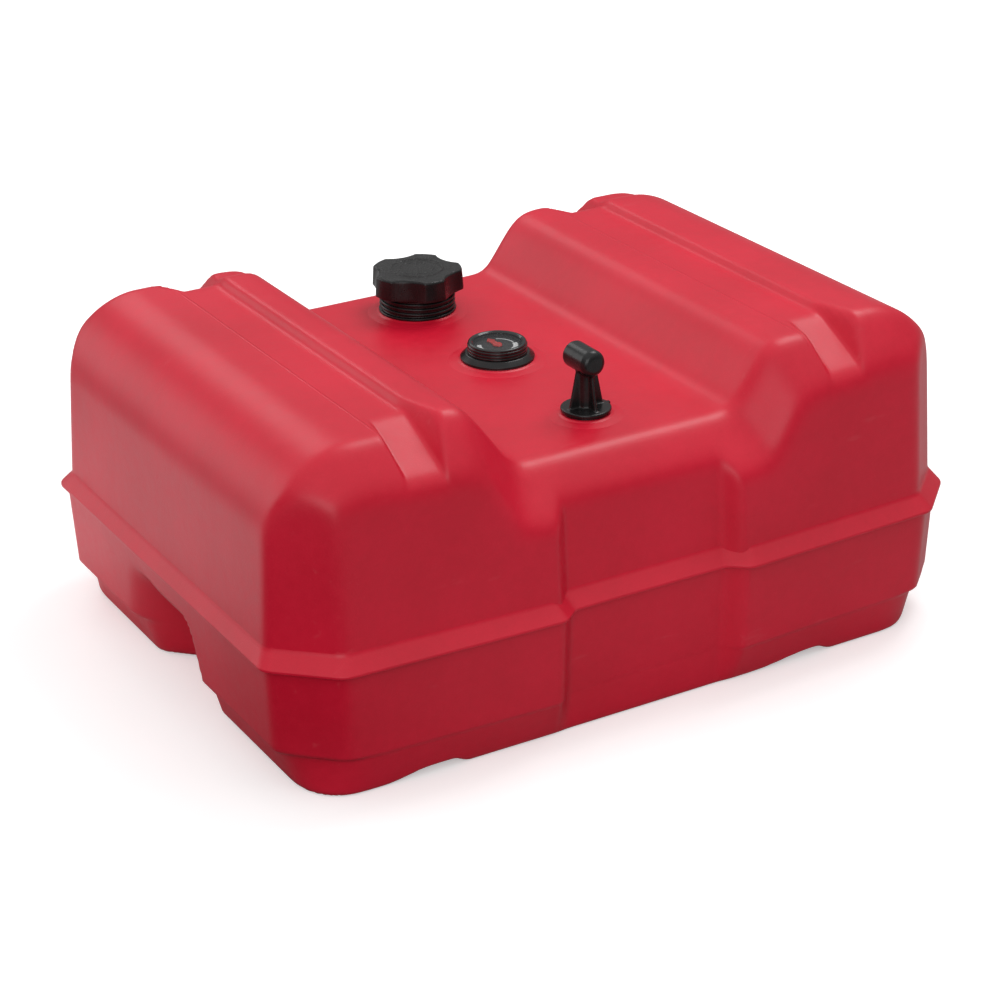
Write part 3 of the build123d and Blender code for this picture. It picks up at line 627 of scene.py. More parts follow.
@dataclass(frozen=True)
class DialPrint:
    """Black dial with white arc segments round its edge."""

    segments: tuple[tuple[float, float, float, float], ...] = (
        (-2.0, 64.0, 13.4, 14.6), (-84.0, -8.0, 12.4, 16.2), (-150.0, -92.0, 13.4, 14.4),
        (-214.0, -158.0, 12.4, 15.8),
    )

    def material(self) -> bpy.types.Material:
        """Builds the material.

        Returns:
            The finished material.
        """
        p = Paint("dial_print")
        x, y, _ = p.centred(0.0, GAUGE_Y)
        radius = p.math("SQRT", x * x + y * y)
        turn = p.math("ARCTAN2", y, x) * (180 / pi)
        mask: Number = 0.0
        for low, high, inner, outer in self.segments:
            middle, half = (low + high) / 2, (high - low) / 2
            away = abs(p.math("WRAP", turn - middle, 180.0, -180.0))
            along = p.ramp(away, half - 0.6, half + 0.6, 1.0, 0.0)
            across = p.ramp(abs(radius - (inner + outer) / 2), (outer - inner) / 2 - 0.1,
                            (outer - inner) / 2 + 0.1, 1.0, 0.0)
            mask = along * across + mask
        dust = p.noise(3.0, 4.0)
        black = p.blend(dust * 0.3, opaque((0.008, 0.008, 0.009)), opaque((0.03, 0.03, 0.03)))
        tone = p.blend(p.math("MINIMUM", mask, 1.0), black, opaque((0.86, 0.87, 0.87)))
        p.relief(dust, 0.01)
        return p.dress(Base_Color=tone, Roughness=0.38 + dust * 0.1)


@dataclass(frozen=True)
class ClearLens:
    """Clear moulded lens with a faint haze."""

    def material(self) -> bpy.types.Material:
        """Builds the material.

        Returns:
            The finished material.
        """
        p = Paint("clear_lens")
        haze = p.noise(5.0, 4.0)
        p.relief(haze, 0.004)
        return p.dress(Base_Color=(0.10, 0.10, 0.105), Roughness=0.02 + haze * 0.05, IOR=1.49,
                       Alpha=0.14 + haze * 0.05)


@dataclass(frozen=True)
class Finishes:
    """Every finish of the tank, built once."""

    red: bpy.types.Material
    satin: bpy.types.Material
    sanded: bpy.types.Material
    polished: bpy.types.Material
    dial: bpy.types.Material
    lens: bpy.types.Material
    needle: bpy.types.Material
    rubber: bpy.types.Material
    steel: bpy.types.Material
    foam: bpy.types.Material
    natural: bpy.types.Material

    @classmethod
    def build(cls) -> "Finishes":
        """Builds every finish.

        Returns:
            The finishes.
        """
        return cls(
            red=MouldedRed().material(),
            satin=MouldedBlack().material(),
            sanded=MouldedBlack(BlackTexture.SANDED).material(),
            polished=MouldedBlack(BlackTexture.POLISHED).material(),
            dial=DialPrint().material(),
            lens=ClearLens().material(),
            needle=PlainFinish("needle_red", (0.62, 0.012, 0.010), (0.72, 0.02, 0.015), 0.3, size=3.0,
                               depth=0.01).material(),
            rubber=PlainFinish("black_rubber", (0.012, 0.012, 0.012), (0.03, 0.03, 0.029), 0.62,
                               size=2.0).material(),
            steel=PlainFinish("stainless", (0.50, 0.50, 0.49), (0.66, 0.66, 0.65), 0.28, 1.0, 2.0, 0.02,
                              (1.0, 1.0, 0.08)).material(),
            foam=PlainFinish("float_foam", (0.07, 0.06, 0.05), (0.15, 0.13, 0.11), 0.85, size=1.6,
                             depth=0.15).material(),
            natural=PlainFinish("natural_plastic", (0.70, 0.69, 0.64), (0.80, 0.79, 0.75), 0.42, size=6.0,
                                depth=0.02).material(),
        )

    def for_slot(self, slot: str) -> bpy.types.Material:
        """The finish of a record's material slot."""
        return {
            "red_polyethylene": self.red, "black_polyethylene": self.satin, "gloss_black": self.polished,
            "clear_lens": self.lens, "dial_black": self.dial, "needle_red": self.needle,
            "black_rubber": self.rubber, "stainless": self.steel, "float_foam": self.foam,
            "natural_plastic": self.natural,
        }[slot]


# ---------------------------------------------------------------- tank
@dataclass(frozen=True)
class Plan:
    """Outline of the tank seen from above: chamfered corners, swept sides with a recessed middle."""

    half_x: float
    half_y: float
    sweep: float
    recess: float
    corner_x: float
    corner_y: float


RIM = Plan(298.5, 233.5, 7.5, 12.3, 44.0, 41.0)
UPPER = Plan(302.4, 233.5, 7.5, 12.3, 47.9, 44.6)
FOOT_TOP = Plan(282.0, 224.0, 7.0, 11.5, 36.0, 38.0)
FOOT = Plan(273.5, 212.8, 1.0, 0.6, 20.0, 21.0)


@dataclass(frozen=True)
class ShellSizes:
    """Sizes of the moulded shell that its form reads as named inputs."""

    recess_start: float = 65.0
    recess_end: float = 82.0
    flange_z: float = 101.5
    upper_inset: float = 10.5
    lower_inset: float = 5.2
    crease_z: float = 32.0
    lobe_z: float = 254.5
    ridge_z: float = 261.5
    valley_z: float = 207.4
    valley_half: float = 94.3
    valley_widening: float = 11.7
    bevel_y: float = 182.0
    bevel_run: float = 31.0
    lobe_drop: float = 32.5
    ridge_drop: float = 38.0
    valley_drop: float = 29.5
    ridge_back_y: float = 152.0
    shoulder: float = 62.0
    left_step: float = -165.0
    right_step: float = 193.0
    ramp_width: float = 27.0
    ramp_y: float = 154.0
    channel_height: float = 6.5


@dataclass(frozen=True)
class Softness:
    """Over how many millimetres each sort of edge on the shell is softened."""

    facet: float = 7.0
    long_side: float = 14.0
    foot_side: float = 12.0
    foot_facet: float = 20.0
    sole: float = 6.0
    ridge_back: float = 12.0
    low_block: float = 21.0
    high_block: float = 13.5
    step: float = 7.0
    valley_foot: float = 16.0
    ramp: float = 3.0
    ramp_mouth: float = 4.5
    hold_arch: float = 20.0
    hold_back: float = 9.0
    hold_mouth: tuple[float, float] = (3.2, 13.0)
    channel: float = 3.0
    crease: tuple[float, float] = (-2.6, 2.0)
    parting: tuple[float, float] = (1.0, 4.0)
    bevel_share: float = 0.36


@dataclass(frozen=True)
class HandHold:
    """Arched pocket under a short end; pairs are a size at its back and what its depth adds."""

    back: float = 250.5
    deep: float = 53.0
    flat_from: float = -40.0
    top: tuple[float, float] = (68.0, 14.0)
    head_half: tuple[float, float] = (19.3, 31.9)
    foot_half: tuple[float, float] = (35.9, 59.3)
    below: float = 20.0
    side_scale: float = 0.9
    flare: float = 16.0
    flare_from: float = 270.0
    flare_run: float = 28.5
    soft_from: tuple[float, float] = (-5.0, 40.0)


@dataclass
class TankShell:
    """One-piece moulded shell with humps, valley, strap steps and ramps, hand-holds and strap channels.

    core holds the half length, half width, lowest and highest place of the block inside the shell from
    which the lattice's lines fan out. Drafts, slopes and leans are degrees. A channel is the four places
    along X where its ramps start and end, and a boss is its place along Y and its radius.
    """

    finishes: Finishes
    sizes: ShellSizes = field(default_factory=ShellSizes)
    soft: Softness = field(default_factory=Softness)
    hold: HandHold = field(default_factory=HandHold)
    core: tuple[float, float, float, float] = (215.0, 190.0, 38.0, 150.0)
    coarse: tuple[float, float, float] = (9.0, 10.0, 10.0)
    growth: float = 0.30
    rays: int = 21
    start_out: float = 150.0
    march: int = 80
    stride: float = 0.72
    upper_draft: float = 3.3
    lower_draft: float = 2.7
    hump_slope: float = 54.0
    ridge_back_slope: float = 38.0
    step_lean: float = 20.0
    ramp_lean: float = 18.0
    step_ramp_lean: float = 29.0
    step_ramp_gap: float = 1.4
    ramp_flare: float = 0.28
    ramp_slope: float = 27.0
    right_foot_cut: float = 9.0
    channels: tuple[tuple[float, float, float, float], ...] = (
        (-216.0, -188.0, -163.0, -152.0), (104.0, 142.0, 160.0, 172.0))
    bosses: tuple[tuple[float, float], ...] = ((CAP_Y, 32.2), (GAUGE_Y, 29.8), (PICKUP_Y, 19.6))

    # -------- lattice
    def graded(self, low: float, high: float, coarse: float,
               details: list[tuple[float, float, float]]) -> list[float]:
        """Places along a line, closer together near details.

        Args:
            low: first place.
            high: last place.
            coarse: widest spacing.
            details: (centre, half width, spacing) of each detail.

        Returns:
            Rising places from low to high.
        """
        places = [low]
        while places[-1] < high:
            here = places[-1]
            step = coarse
            for centre, half, fine in details:
                beyond = max(0.0, abs(here - centre) - half, centre - half - here)
                step = min(step, fine + self.growth * beyond)
            places.append(here + step)
        scale = (high - low) / (places[-1] - low)
        return [low + (p - low) * scale for p in places]

    def fan(self, core: list[float]) -> tuple[np.ndarray, np.ndarray]:
        """Adds rays that fan out from both ends of a line of core places.

        Args:
            core: places inside the shell.

        Returns:
            Places and slopes of every lattice line.
        """
        slopes = np.tan(np.linspace(0, pi / 4, self.rays + 1)[1:])
        places = np.concatenate([np.full(self.rays, core[0]), core, np.full(self.rays, core[-1])])
        return places, np.concatenate([-slopes[::-1], np.zeros(len(core)), slopes])

    def lattice(self) -> bpy.types.Mesh:
        """Closed box of quads round the shell; each corner aims at the core.

        Returns:
            The lattice, with each corner's aim as an attribute.
        """
        long, wide, low, high = self.core
        s = self.sizes
        recess, slope_foot, slope_top = (73, 12, 2.2), (98, 12, 3.4), (127, 18, 4.4)
        hold_mouth, hold_back = (58, 18, 3.2), (30, 12, 5.0)
        ramp_top, bevel = (s.ramp_y, 6, 2.6), (s.bevel_y, 14, 3.0)
        parting, hold_top, crease = (s.flange_z + 3, 4, 1.2), (78, 8, 2.8), (low, 2, 1.6)
        x_details = [(at, 4, 2.8) for channel in self.channels for at in channel if abs(at) < long]
        y_details = []
        for step in (s.left_step, s.right_step):
            x_details += [(step, 5, 1.0), (step - s.ramp_width, 4, 1.2)]
        for sign in (-1, 1):
            x_details += [(sign * at, half, fine) for at, half, fine in (recess, slope_foot, slope_top)]
            y_details += [(sign * at, half, fine)
                          for at, half, fine in (hold_mouth, hold_back, ramp_top, bevel)]
        z_details = [parting, hold_top, crease]
        xs, tx = self.fan(self.graded(-long, long, self.coarse[0], x_details))
        ys, ty = self.fan(self.graded(-wide, wide, self.coarse[1], y_details))
        zs, tz = self.fan(self.graded(low, high, self.coarse[2], z_details))
        size = (len(xs), len(ys), len(zs))
        places, vertices, aims = {}, [], []

        def corner(i: int, j: int, k: int) -> int:
            """Finds a lattice corner, made when first met.

            Args:
                i: place along X.
                j: place along Y.
                k: place along Z.

            Returns:
                The corner's vertex place.
            """
            key = (i, j, k)
            if key not in places:
                out = np.array([tx[i], ty[j], tz[k]])
                places[key] = len(vertices)
                vertices.append(np.array([xs[i], ys[j], zs[k]]) + out * self.start_out)
                aims.append(-out / np.linalg.norm(out))
            return places[key]

        faces = []
        for axis in range(3):
            u, v = (axis + 1) % 3, (axis + 2) % 3
            for end in (0, size[axis] - 1):
                for a in range(size[u] - 1):
                    for b in range(size[v] - 1):
                        quad = []
                        for da, db in ((0, 0), (1, 0), (1, 1), (0, 1)):
                            at = [0, 0, 0]
                            at[axis], at[u], at[v] = end, a + da, b + db
                            quad.append(corner(*at))
                        faces.append(tuple(quad if end else reversed(quad)))
        mesh = mesh_from("shell_lattice", np.array(vertices), faces)
        aim = mesh.attributes.new("aim", "FLOAT_VECTOR", "POINT")
        aim.data.foreach_set("vector", np.array(aims, np.float32).ravel())
        return mesh

    # -------- form
    def walls(self, g: Graph, plan: Plan, ax: Term, ay: Term) -> tuple[Term, Term, Term]:
        """Distances beyond a plan.

        Args:
            g: the form's graph.
            plan: the outline.
            ax: X without its sign.
            ay: Y without its sign.

        Returns:
            Distances beyond the ends, the long sides and the corner facets.
        """
        s = self.sizes
        length = hypot(plan.corner_x, plan.corner_y)
        run, fall = plan.corner_y / length, plan.corner_x / length
        reach = run * plan.half_x + fall * (plan.half_y - plan.sweep - plan.corner_y)
        slope = plan.sweep / (plan.half_x - plan.corner_x - s.recess_end)
        line = plan.half_y + (s.recess_end - ax) * slope
        share = g.ramp(ax, s.recess_start, s.recess_end)
        limit = line * share + (1.0 - share) * (plan.half_y - plan.recess)
        return ax - plan.half_x, ay - limit, ax * run + ay * fall - reach

    def lower_body(self, g: Graph, size: Callable[[str], Term], x: Term, ay: Term, z: Term) -> Term:
        """Distance beyond the lower walls and, below the crease, the foot.

        Args:
            g: the form's graph.
            size: gives a size as a Term by its field's name.
            x: place along X.
            ay: Y without its sign.
            z: height.

        Returns:
            The distance.
        """
        s, soft = self.sizes, self.soft
        ax = abs(x)
        end, side, facet = self.walls(g, RIM, ax, ay)
        below = size("lower_inset") + (size("flange_z") - z) * tan(radians(self.lower_draft))
        wall = g.highest(g.highest(end, side), facet, soft.facet) + below
        rise = z / s.crease_z
        pairs = zip(self.walls(g, FOOT, ax, ay), self.walls(g, FOOT_TOP, ax, ay))
        end, side, facet = [low * (1.0 - rise) + high * rise for low, high in pairs]
        facet = facet + g.math("GREATER_THAN", x, 0.0) * (1.0 - rise) * self.right_foot_cut
        foot = g.highest(g.highest(end, side, soft.foot_side), facet, soft.foot_facet)
        foot = g.highest(foot, -z, soft.sole)
        share = g.ramp(z, s.crease_z + soft.crease[0], s.crease_z + soft.crease[1])
        return foot * (1.0 - share) + wall * share

    def crown(self, g: Graph, size: Callable[[str], Term], x: Term, y: Term, z: Term) -> Term:
        """Distance above the humps and the valley.

        Args:
            g: the form's graph.
            size: gives a size as a Term by its field's name.
            x: place along X.
            y: place along Y.
            z: height.

        Returns:
            The distance.
        """
        s, soft = self.sizes, self.soft
        ax, ay = abs(x), abs(y)
        share = g.highest((ay - size("bevel_y")) / size("bevel_run"), 0.0, soft.bevel_share)
        front = g.highest((-y - size("bevel_y")) / size("bevel_run"), 0.0, soft.bevel_share)
        back = g.highest(y - size("ridge_back_y"), 0.0, soft.ridge_back) * tan(radians(self.ridge_back_slope))
        lobe = size("lobe_z") - size("lobe_drop") * share
        ridge = size("ridge_z") - front * size("ridge_drop") - back
        valley = size("valley_z") - size("valley_drop") * share
        slope = radians(self.hump_slope)
        half = size("valley_half") + size("valley_widening") * share
        side = (z - valley) * cos(slope) - (ax - half) * sin(slope)
        right = g.math("GREATER_THAN", x, 0.0)
        step = size("left_step") + right * (size("right_step") - size("left_step"))
        lean = radians(self.step_lean)
        facing = (step - x) * cos(lean) + (z - lobe) * sin(lean)
        low_block = g.highest(z - lobe, side, soft.low_block)
        high_block = g.highest(g.highest(z - ridge, side, soft.high_block), facing, soft.step)
        hump = g.lowest(low_block, high_block, soft.step)
        body = g.lowest(hump, z - valley, soft.valley_foot)
        floor = s.lobe_z - (ay - size("ramp_y")) * tan(radians(self.ramp_slope))
        flare = g.highest(y - size("ramp_y"), 0.0) * self.ramp_flare
        outer = step - size("ramp_width") - flare - (z - floor) * tan(radians(self.ramp_lean)) - x
        inner = x - step - self.step_ramp_gap - (z - floor) * tan(radians(self.step_ramp_lean))
        cut = g.highest(g.highest(outer, inner), (floor - z) * cos(radians(self.ramp_slope)), soft.ramp)
        return g.highest(body, -cut, soft.ramp_mouth)

    def underside(self, g: Graph, size: Callable[[str], Term], x: Term, y: Term, z: Term, body: Term) -> Term:
        """Takes the hand-holds and the strap channels out of the body.

        Args:
            g: the form's graph.
            size: gives a size as a Term by its field's name.
            x: place along X.
            y: place along Y.
            z: height.
            body: distance beyond the body before the cuts.

        Returns:
            Distance beyond the body after them.
        """
        soft, hold = self.soft, self.hold
        ax = abs(x)
        mouth = g.highest(ax - hold.flare_from, 0.0) / hold.flare_run
        flare = mouth * mouth * (hold.flare / 2)
        depth = g.highest(ax - hold.back, hold.flat_from) / hold.deep
        top, head, foot = [base + depth * more for base, more in (hold.top, hold.head_half, hold.foot_half)]
        half = foot - (foot - head) * (z + hold.below) / (top + hold.below) + flare
        arch = g.highest((abs(y - flare) - half) * hold.side_scale, z - top, soft.hold_arch)
        pocket = g.highest(arch, hold.back - ax, soft.hold_back)
        body = g.highest(body, -pocket, g.ramp(y, *hold.soft_from, *soft.hold_mouth))
        for start, full, end, stop in self.channels:
            near = (start - x) * (size("channel_height") / (full - start)) + z
            far = (x - stop) * (size("channel_height") / (stop - end)) + z
            cut = g.highest(g.highest(near, far, soft.channel), z - size("channel_height"), soft.channel)
            body = g.highest(body, -cut, soft.channel)
        return body

    def distance(self, form: Form, point: Term) -> Term:
        """Roughly how far a point lies outside the shell.

        Args:
            form: the tree that reads the sizes.
            point: the place, in metres.

        Returns:
            The distance in millimetres.
        """
        g, s, soft = form.graph, self.sizes, self.soft

        def size(name: str) -> Term:
            """A size by its field's name."""
            return form.size(name.replace("_", " ").title())

        x, y, z = g.parts(g.scaled(point, 1 / MM))
        ax, ay = abs(x), abs(y)
        end, side, facet = self.walls(g, UPPER, ax, ay)
        above = size("upper_inset") + (z - size("flange_z")) * tan(radians(self.upper_draft))
        upper = g.rounded(self.crown(g, size, x, y, z), end + above, size("shoulder"))
        upper = g.highest(g.highest(upper, side + above, soft.long_side), facet + above, soft.facet)
        lower = self.underside(g, size, x, y, z, self.lower_body(g, size, x, ay, z))
        share = g.ramp(z, s.flange_z + soft.parting[0], s.flange_z + soft.parting[1])
        return lower * (1.0 - share) + upper * share

    def shell(self) -> bpy.types.Object:
        """Marches the lattice onto the shell's form.

        Returns:
            The shell's object.
        """
        sizes = {f.name.replace("_", " ").title(): getattr(self.sizes, f.name) for f in fields(self.sizes)}
        form = Form("shell_form", sizes)
        g = form.graph
        start = g.node("GeometryNodeRepeatInput")
        end = g.node("GeometryNodeRepeatOutput")
        start.pair_with_output(end)
        g.feed(start.inputs["Iterations"], self.march)
        g.feed(start.inputs["Geometry"], form.entry.outputs["Geometry"])
        point = g.term("GeometryNodeInputPosition")
        aim = g.term("GeometryNodeInputNamedAttribute", {"data_type": "FLOAT_VECTOR"}, {"Name": "aim"})
        step = g.scaled(aim, self.distance(form, point) * (self.stride * MM))
        shifted = g.term("GeometryNodeSetPosition", None,
                         {"Geometry": start.outputs["Geometry"], "Offset": step})
        g.feed(end.inputs["Geometry"], shifted)
        form.finish(Term(g, end.outputs["Geometry"]), self.finishes.red)
        mesh = form.mesh(self.lattice())
        mesh.attributes.remove(mesh.attributes["aim"])
        mesh.name = "shell_skin"
        return piece(mesh, self.finishes.red, "tank",
                     ("tank_hump_left", "tank_valley", "tank_hump_right", "tank_lower"))

    # -------- flange and bosses
    def outline(self, inset: float) -> np.ndarray:
        """Plan of the shell moved in from the flange's rim.

        Args:
            inset: how far in.

        Returns:
            An N x 2 outline, with the same number of points at every inset.
        """
        s = self.sizes
        half_x = RIM.half_x + (UPPER.half_x - RIM.half_x) * min(inset / s.upper_inset, 1.0)
        drop = (half_x - RIM.half_x) * RIM.corner_y / RIM.corner_x
        quadrant = [(half_x, RIM.half_y - RIM.sweep - RIM.corner_y - drop, 17.0),
                    (RIM.half_x - RIM.corner_x, RIM.half_y - RIM.sweep, 19.0),
                    (s.recess_end - 1, RIM.half_y - 0.1, 12.0),
                    (s.recess_start + 1, RIM.half_y - RIM.recess - 0.1, 12.0)]
        half = quadrant + [(-x, y, r) for x, y, r in reversed(quadrant)]
        corners = half + [(-x, -y, r) for x, y, r in half]
        result = []
        for i, (x, y, radius) in enumerate(corners):
            here = np.array([x, y])
            back = np.array(corners[i - 1][:2]) - here
            ahead = np.array(corners[(i + 1) % len(corners)][:2]) - here
            back, ahead = back / np.linalg.norm(back), ahead / np.linalg.norm(ahead)
            turn = -back[0] * ahead[1] + back[1] * ahead[0]
            inward = 1.0 if turn > 0 else -1.0
            normal_in, normal_out = np.array([back[1], -back[0]]), np.array([-ahead[1], ahead[0]])
            mitre = (normal_in + normal_out) / (1 + normal_in @ normal_out)
            apex = here + mitre * inset
            result.append((apex[0], apex[1], max(1.0, radius - inward * inset * 0.15)))
        return softened(result, steps=8)

    def flange(self) -> bpy.types.Object:
        """Rim along the parting line with its sloping ledge up to the wall.

        Returns:
            The flange's object.
        """
        z = self.sizes.flange_z
        section = softened([
            (16.0, z + 0.2, 0), (4.0, z + 0.1, 0.4), (0.0, z + 0.05, 0.9), (0.2, z + 2.3, 0.8),
            (11.2, z + 12.6, 12.0), (11.75, z + 17.6, 0), (16.0, z + 17.9, 0)], steps=6, closed=True)
        rings = [np.column_stack([self.outline(inset), np.full(len(self.outline(inset)), height)])
                 for inset, height in section]
        count = len(rings[0])
        faces = ring_faces(len(rings), count, closed_rows=True)
        mesh = mesh_from("shell_flange", np.concatenate(rings), faces)
        return piece(mesh, self.finishes.red, "tank")

    def deck_boss(self, name: str, y: float, radius: float) -> bpy.types.Object:
        """Low raised seat under a fitting, faired into the deck.

        Args:
            name: the piece's name.
            y: its place along the valley.
            radius: of its flat top.

        Returns:
            The boss's object.
        """
        deck = self.sizes.valley_z
        top = softened([
            (radius - 8, deck - 1.5, 0), (radius + 12, deck - 0.5, 0), (radius + 8.5, deck + 0.02, 6.0),
            (radius + 1.2, DECK_Z - 1.0, 4.0), (radius - 0.6, DECK_Z, 0.8), (radius - 8, DECK_Z, 0)], steps=8)
        mesh = moved(turned(name, top, 144), y=y)
        return piece(mesh, self.finishes.red, "tank")

    def build(self) -> None:
        """Builds the shell, its flange and its bosses."""
        self.shell()
        self.flange()
        for name, (y, radius) in zip(("boss_filler", "boss_gauge", "boss_pickup"), self.bosses):
            self.deck_boss(name, y, radius)


# ---------------------------------------------------------------- filler neck and cap
@dataclass
class FillerNeck:
    """Threaded filler insert on the deck."""

    finishes: Finishes
    radius: float = 29.2
    bore: float = 25.0
    rim: tuple[float, float] = (28.0, 236.0)
    thread: tuple[float, float, float, float] = (31.0, 4.0, 213.2, 228.0)

    def tube(self) -> bpy.types.Mesh:
        """Neck with its small foot flange, bore and rounded rim.

        Returns:
            Its mesh about the Z axis.
        """
        r, (rim_r, rim_z) = self.radius, self.rim
        outline = softened([
            (self.bore, 196, 0.5), (27.7, 196, 1.0), (27.7, DECK_Z + 0.1, 0), (31.6, DECK_Z + 0.1, 0.4),
            (31.6, DECK_Z + 2.0, 0.7), (r, DECK_Z + 2.3, 0.8), (r, 226, 3.0), (rim_r, rim_z, 0.6),
            (self.bore, rim_z, 0.6)], steps=4)
        return turned("neck_tube", outline, 128)

    def thread_ridge(self) -> bpy.types.Mesh:
        """Helical ridge swept along a spiral.

        Returns:
            Its mesh about the Z axis.
        """
        crest, pitch, low, high = self.thread
        form = Form("neck_thread", {"Crest Radius": crest, "Pitch": pitch, "Foot": low, "Head": high,
                                    "Ridge Radius": 1.25})
        g = form.graph
        root = (form.size("Crest Radius") - form.size("Ridge Radius")) * MM
        rise = form.size("Head") - form.size("Foot")
        spiral = g.term("GeometryNodeCurveSpiral", None, {
            "Resolution": 96, "Rotations": rise / form.size("Pitch"), "Start Radius": root,
            "End Radius": root, "Height": rise * MM})
        profile = g.node("GeometryNodeCurvePrimitiveCircle", None, {"Resolution": 12})
        g.feed([s for s in profile.inputs if s.name == "Radius"][0], form.size("Ridge Radius") * MM)
        ridge = g.term("GeometryNodeCurveToMesh", None, {
            "Curve": spiral, "Profile Curve": profile.outputs[0], "Fill Caps": True})
        lift = g.term("ShaderNodeCombineXYZ", None, {"Z": form.size("Foot") * MM})
        placed = g.term("GeometryNodeTransform", None, {"Geometry": ridge, "Translation": lift})
        form.finish(placed, self.finishes.satin)
        return form.mesh()

    def build(self) -> None:
        """Builds the neck with its thread."""
        mesh = moved(joined("neck_body", [self.tube(), self.thread_ridge()]), y=CAP_Y)
        piece(mesh, self.finishes.satin, "tank", ("filler_neck",), sharp=50)


@dataclass
class ScrewCap:
    """Cap with broad lobes, hollow scallops, a grained crown and a raised ring."""

    finishes: Finishes
    lobes: int = 5
    lobe_half: float = 14.0
    first_lobe: float = 49.0
    skirt: tuple[float, float, float] = (38.0, 33.4, 227.0)
    top: tuple[float, float, float] = (36.9, 30.6, 244.0)
    crown_rise: float = 0.5
    rings: tuple[tuple[float, float], ...] = ((21.0, 0.9), (14.2, 0.7))
    around: int = 320

    def outline(self, angles: np.ndarray, lobe: float, scallop: float) -> np.ndarray:
        """Radius of the lobed outline at each angle.

        Args:
            angles: directions in radians.
            lobe: radius over the lobes.
            scallop: smallest radius, in the middle of a hollow.

        Returns:
            One radius for each angle.
        """
        spacing = 2 * pi / self.lobes
        half = spacing / 2 - radians(self.lobe_half)
        u, v = lobe * cos(half), lobe * sin(half)
        centre = (u * u + v * v - scallop * scallop) / (2 * (u - scallop))
        hollow_r = centre - scallop
        phase = (angles - radians(self.first_lobe) + spacing / 2) % spacing - spacing / 2
        away = spacing / 2 - np.abs(phase)
        inside = np.clip(hollow_r ** 2 - (centre * np.sin(away)) ** 2, 0, None)
        hollow = centre * np.cos(away) - np.sqrt(inside)
        soft = 1.1
        gap = np.clip(soft - np.abs(hollow - lobe), 0, None) / soft
        return np.minimum(hollow, lobe) - gap ** 3 * soft / 6

    def build(self) -> None:
        """Builds the cap's shell from one turned outline whose outer rows are lobed."""
        s_lobe, s_hollow, s_z = self.skirt
        t_lobe, t_hollow, t_z = self.top
        sides = [(0.9, s_z, 0), (0.25, s_z + 0.15, 0), (0.0, s_z + 0.8, 0)]
        sides += [(0.0, s_z + 0.8 + (t_z - 2.2 - s_z - 0.8) * k / 8, 0) for k in range(1, 9)]
        edge = 2.1
        sides += [(edge * (1 - cos(a)), t_z - edge + edge * sin(a), 0) for a in np.linspace(0.15, pi / 2, 8)]
        lobed = np.array([(inset, z) for inset, z, _ in sides])
        radii = [27.0, 25.0, *np.arange(23.4, 18.0, -0.45), 17.0, *np.arange(16.4, 11.4, -0.45), 9.0, 5.0]

        def crown(r: float) -> float:
            """Height of the crown at a radius."""
            bands = sum(height * np.exp(-((r - middle) / 0.9) ** 4) for middle, height in self.rings)
            return t_z + self.crown_rise * (1 - (r / 36) ** 2) + bands - 0.15

        bore = [(0, 241.9), (29.7, 241.9), (29.7, 236.0), (31.6, s_z + 0.5), (32.0, s_z)]
        inner = softened([(r, z, 0.4 if 0 < i < 4 else 0) for i, (r, z) in enumerate(bore)], 3, closed=False)
        outline = np.concatenate([inner, [(35.0, z) for _, z in lobed], [(r, crown(r)) for r in radii],
                                  [(0, crown(0))]])
        first = len(inner) - 1

        def shape(angles: np.ndarray, plain: np.ndarray, row: int) -> np.ndarray:
            """Lobed radii for the outer rows.

            Args:
                angles: directions in radians.
                plain: the row's radii as turned.
                row: place of the row in the outline.

            Returns:
                The row's radii.
            """
            index = row - first
            if 0 <= index < len(lobed):
                inset, z = lobed[index]
                up = min(max((z - s_z) / (t_z - s_z), 0.0), 1.0)
                lobe, hollow = s_lobe + (t_lobe - s_lobe) * up, s_hollow + (t_hollow - s_hollow) * up
                return self.outline(angles, lobe, hollow) - inset
            return plain

        mesh = moved(turned("cap_skin", outline, self.around, shape), y=CAP_Y)
        piece(mesh, self.finishes.sanded, "cap", ("cap_shell",), sharp=55)


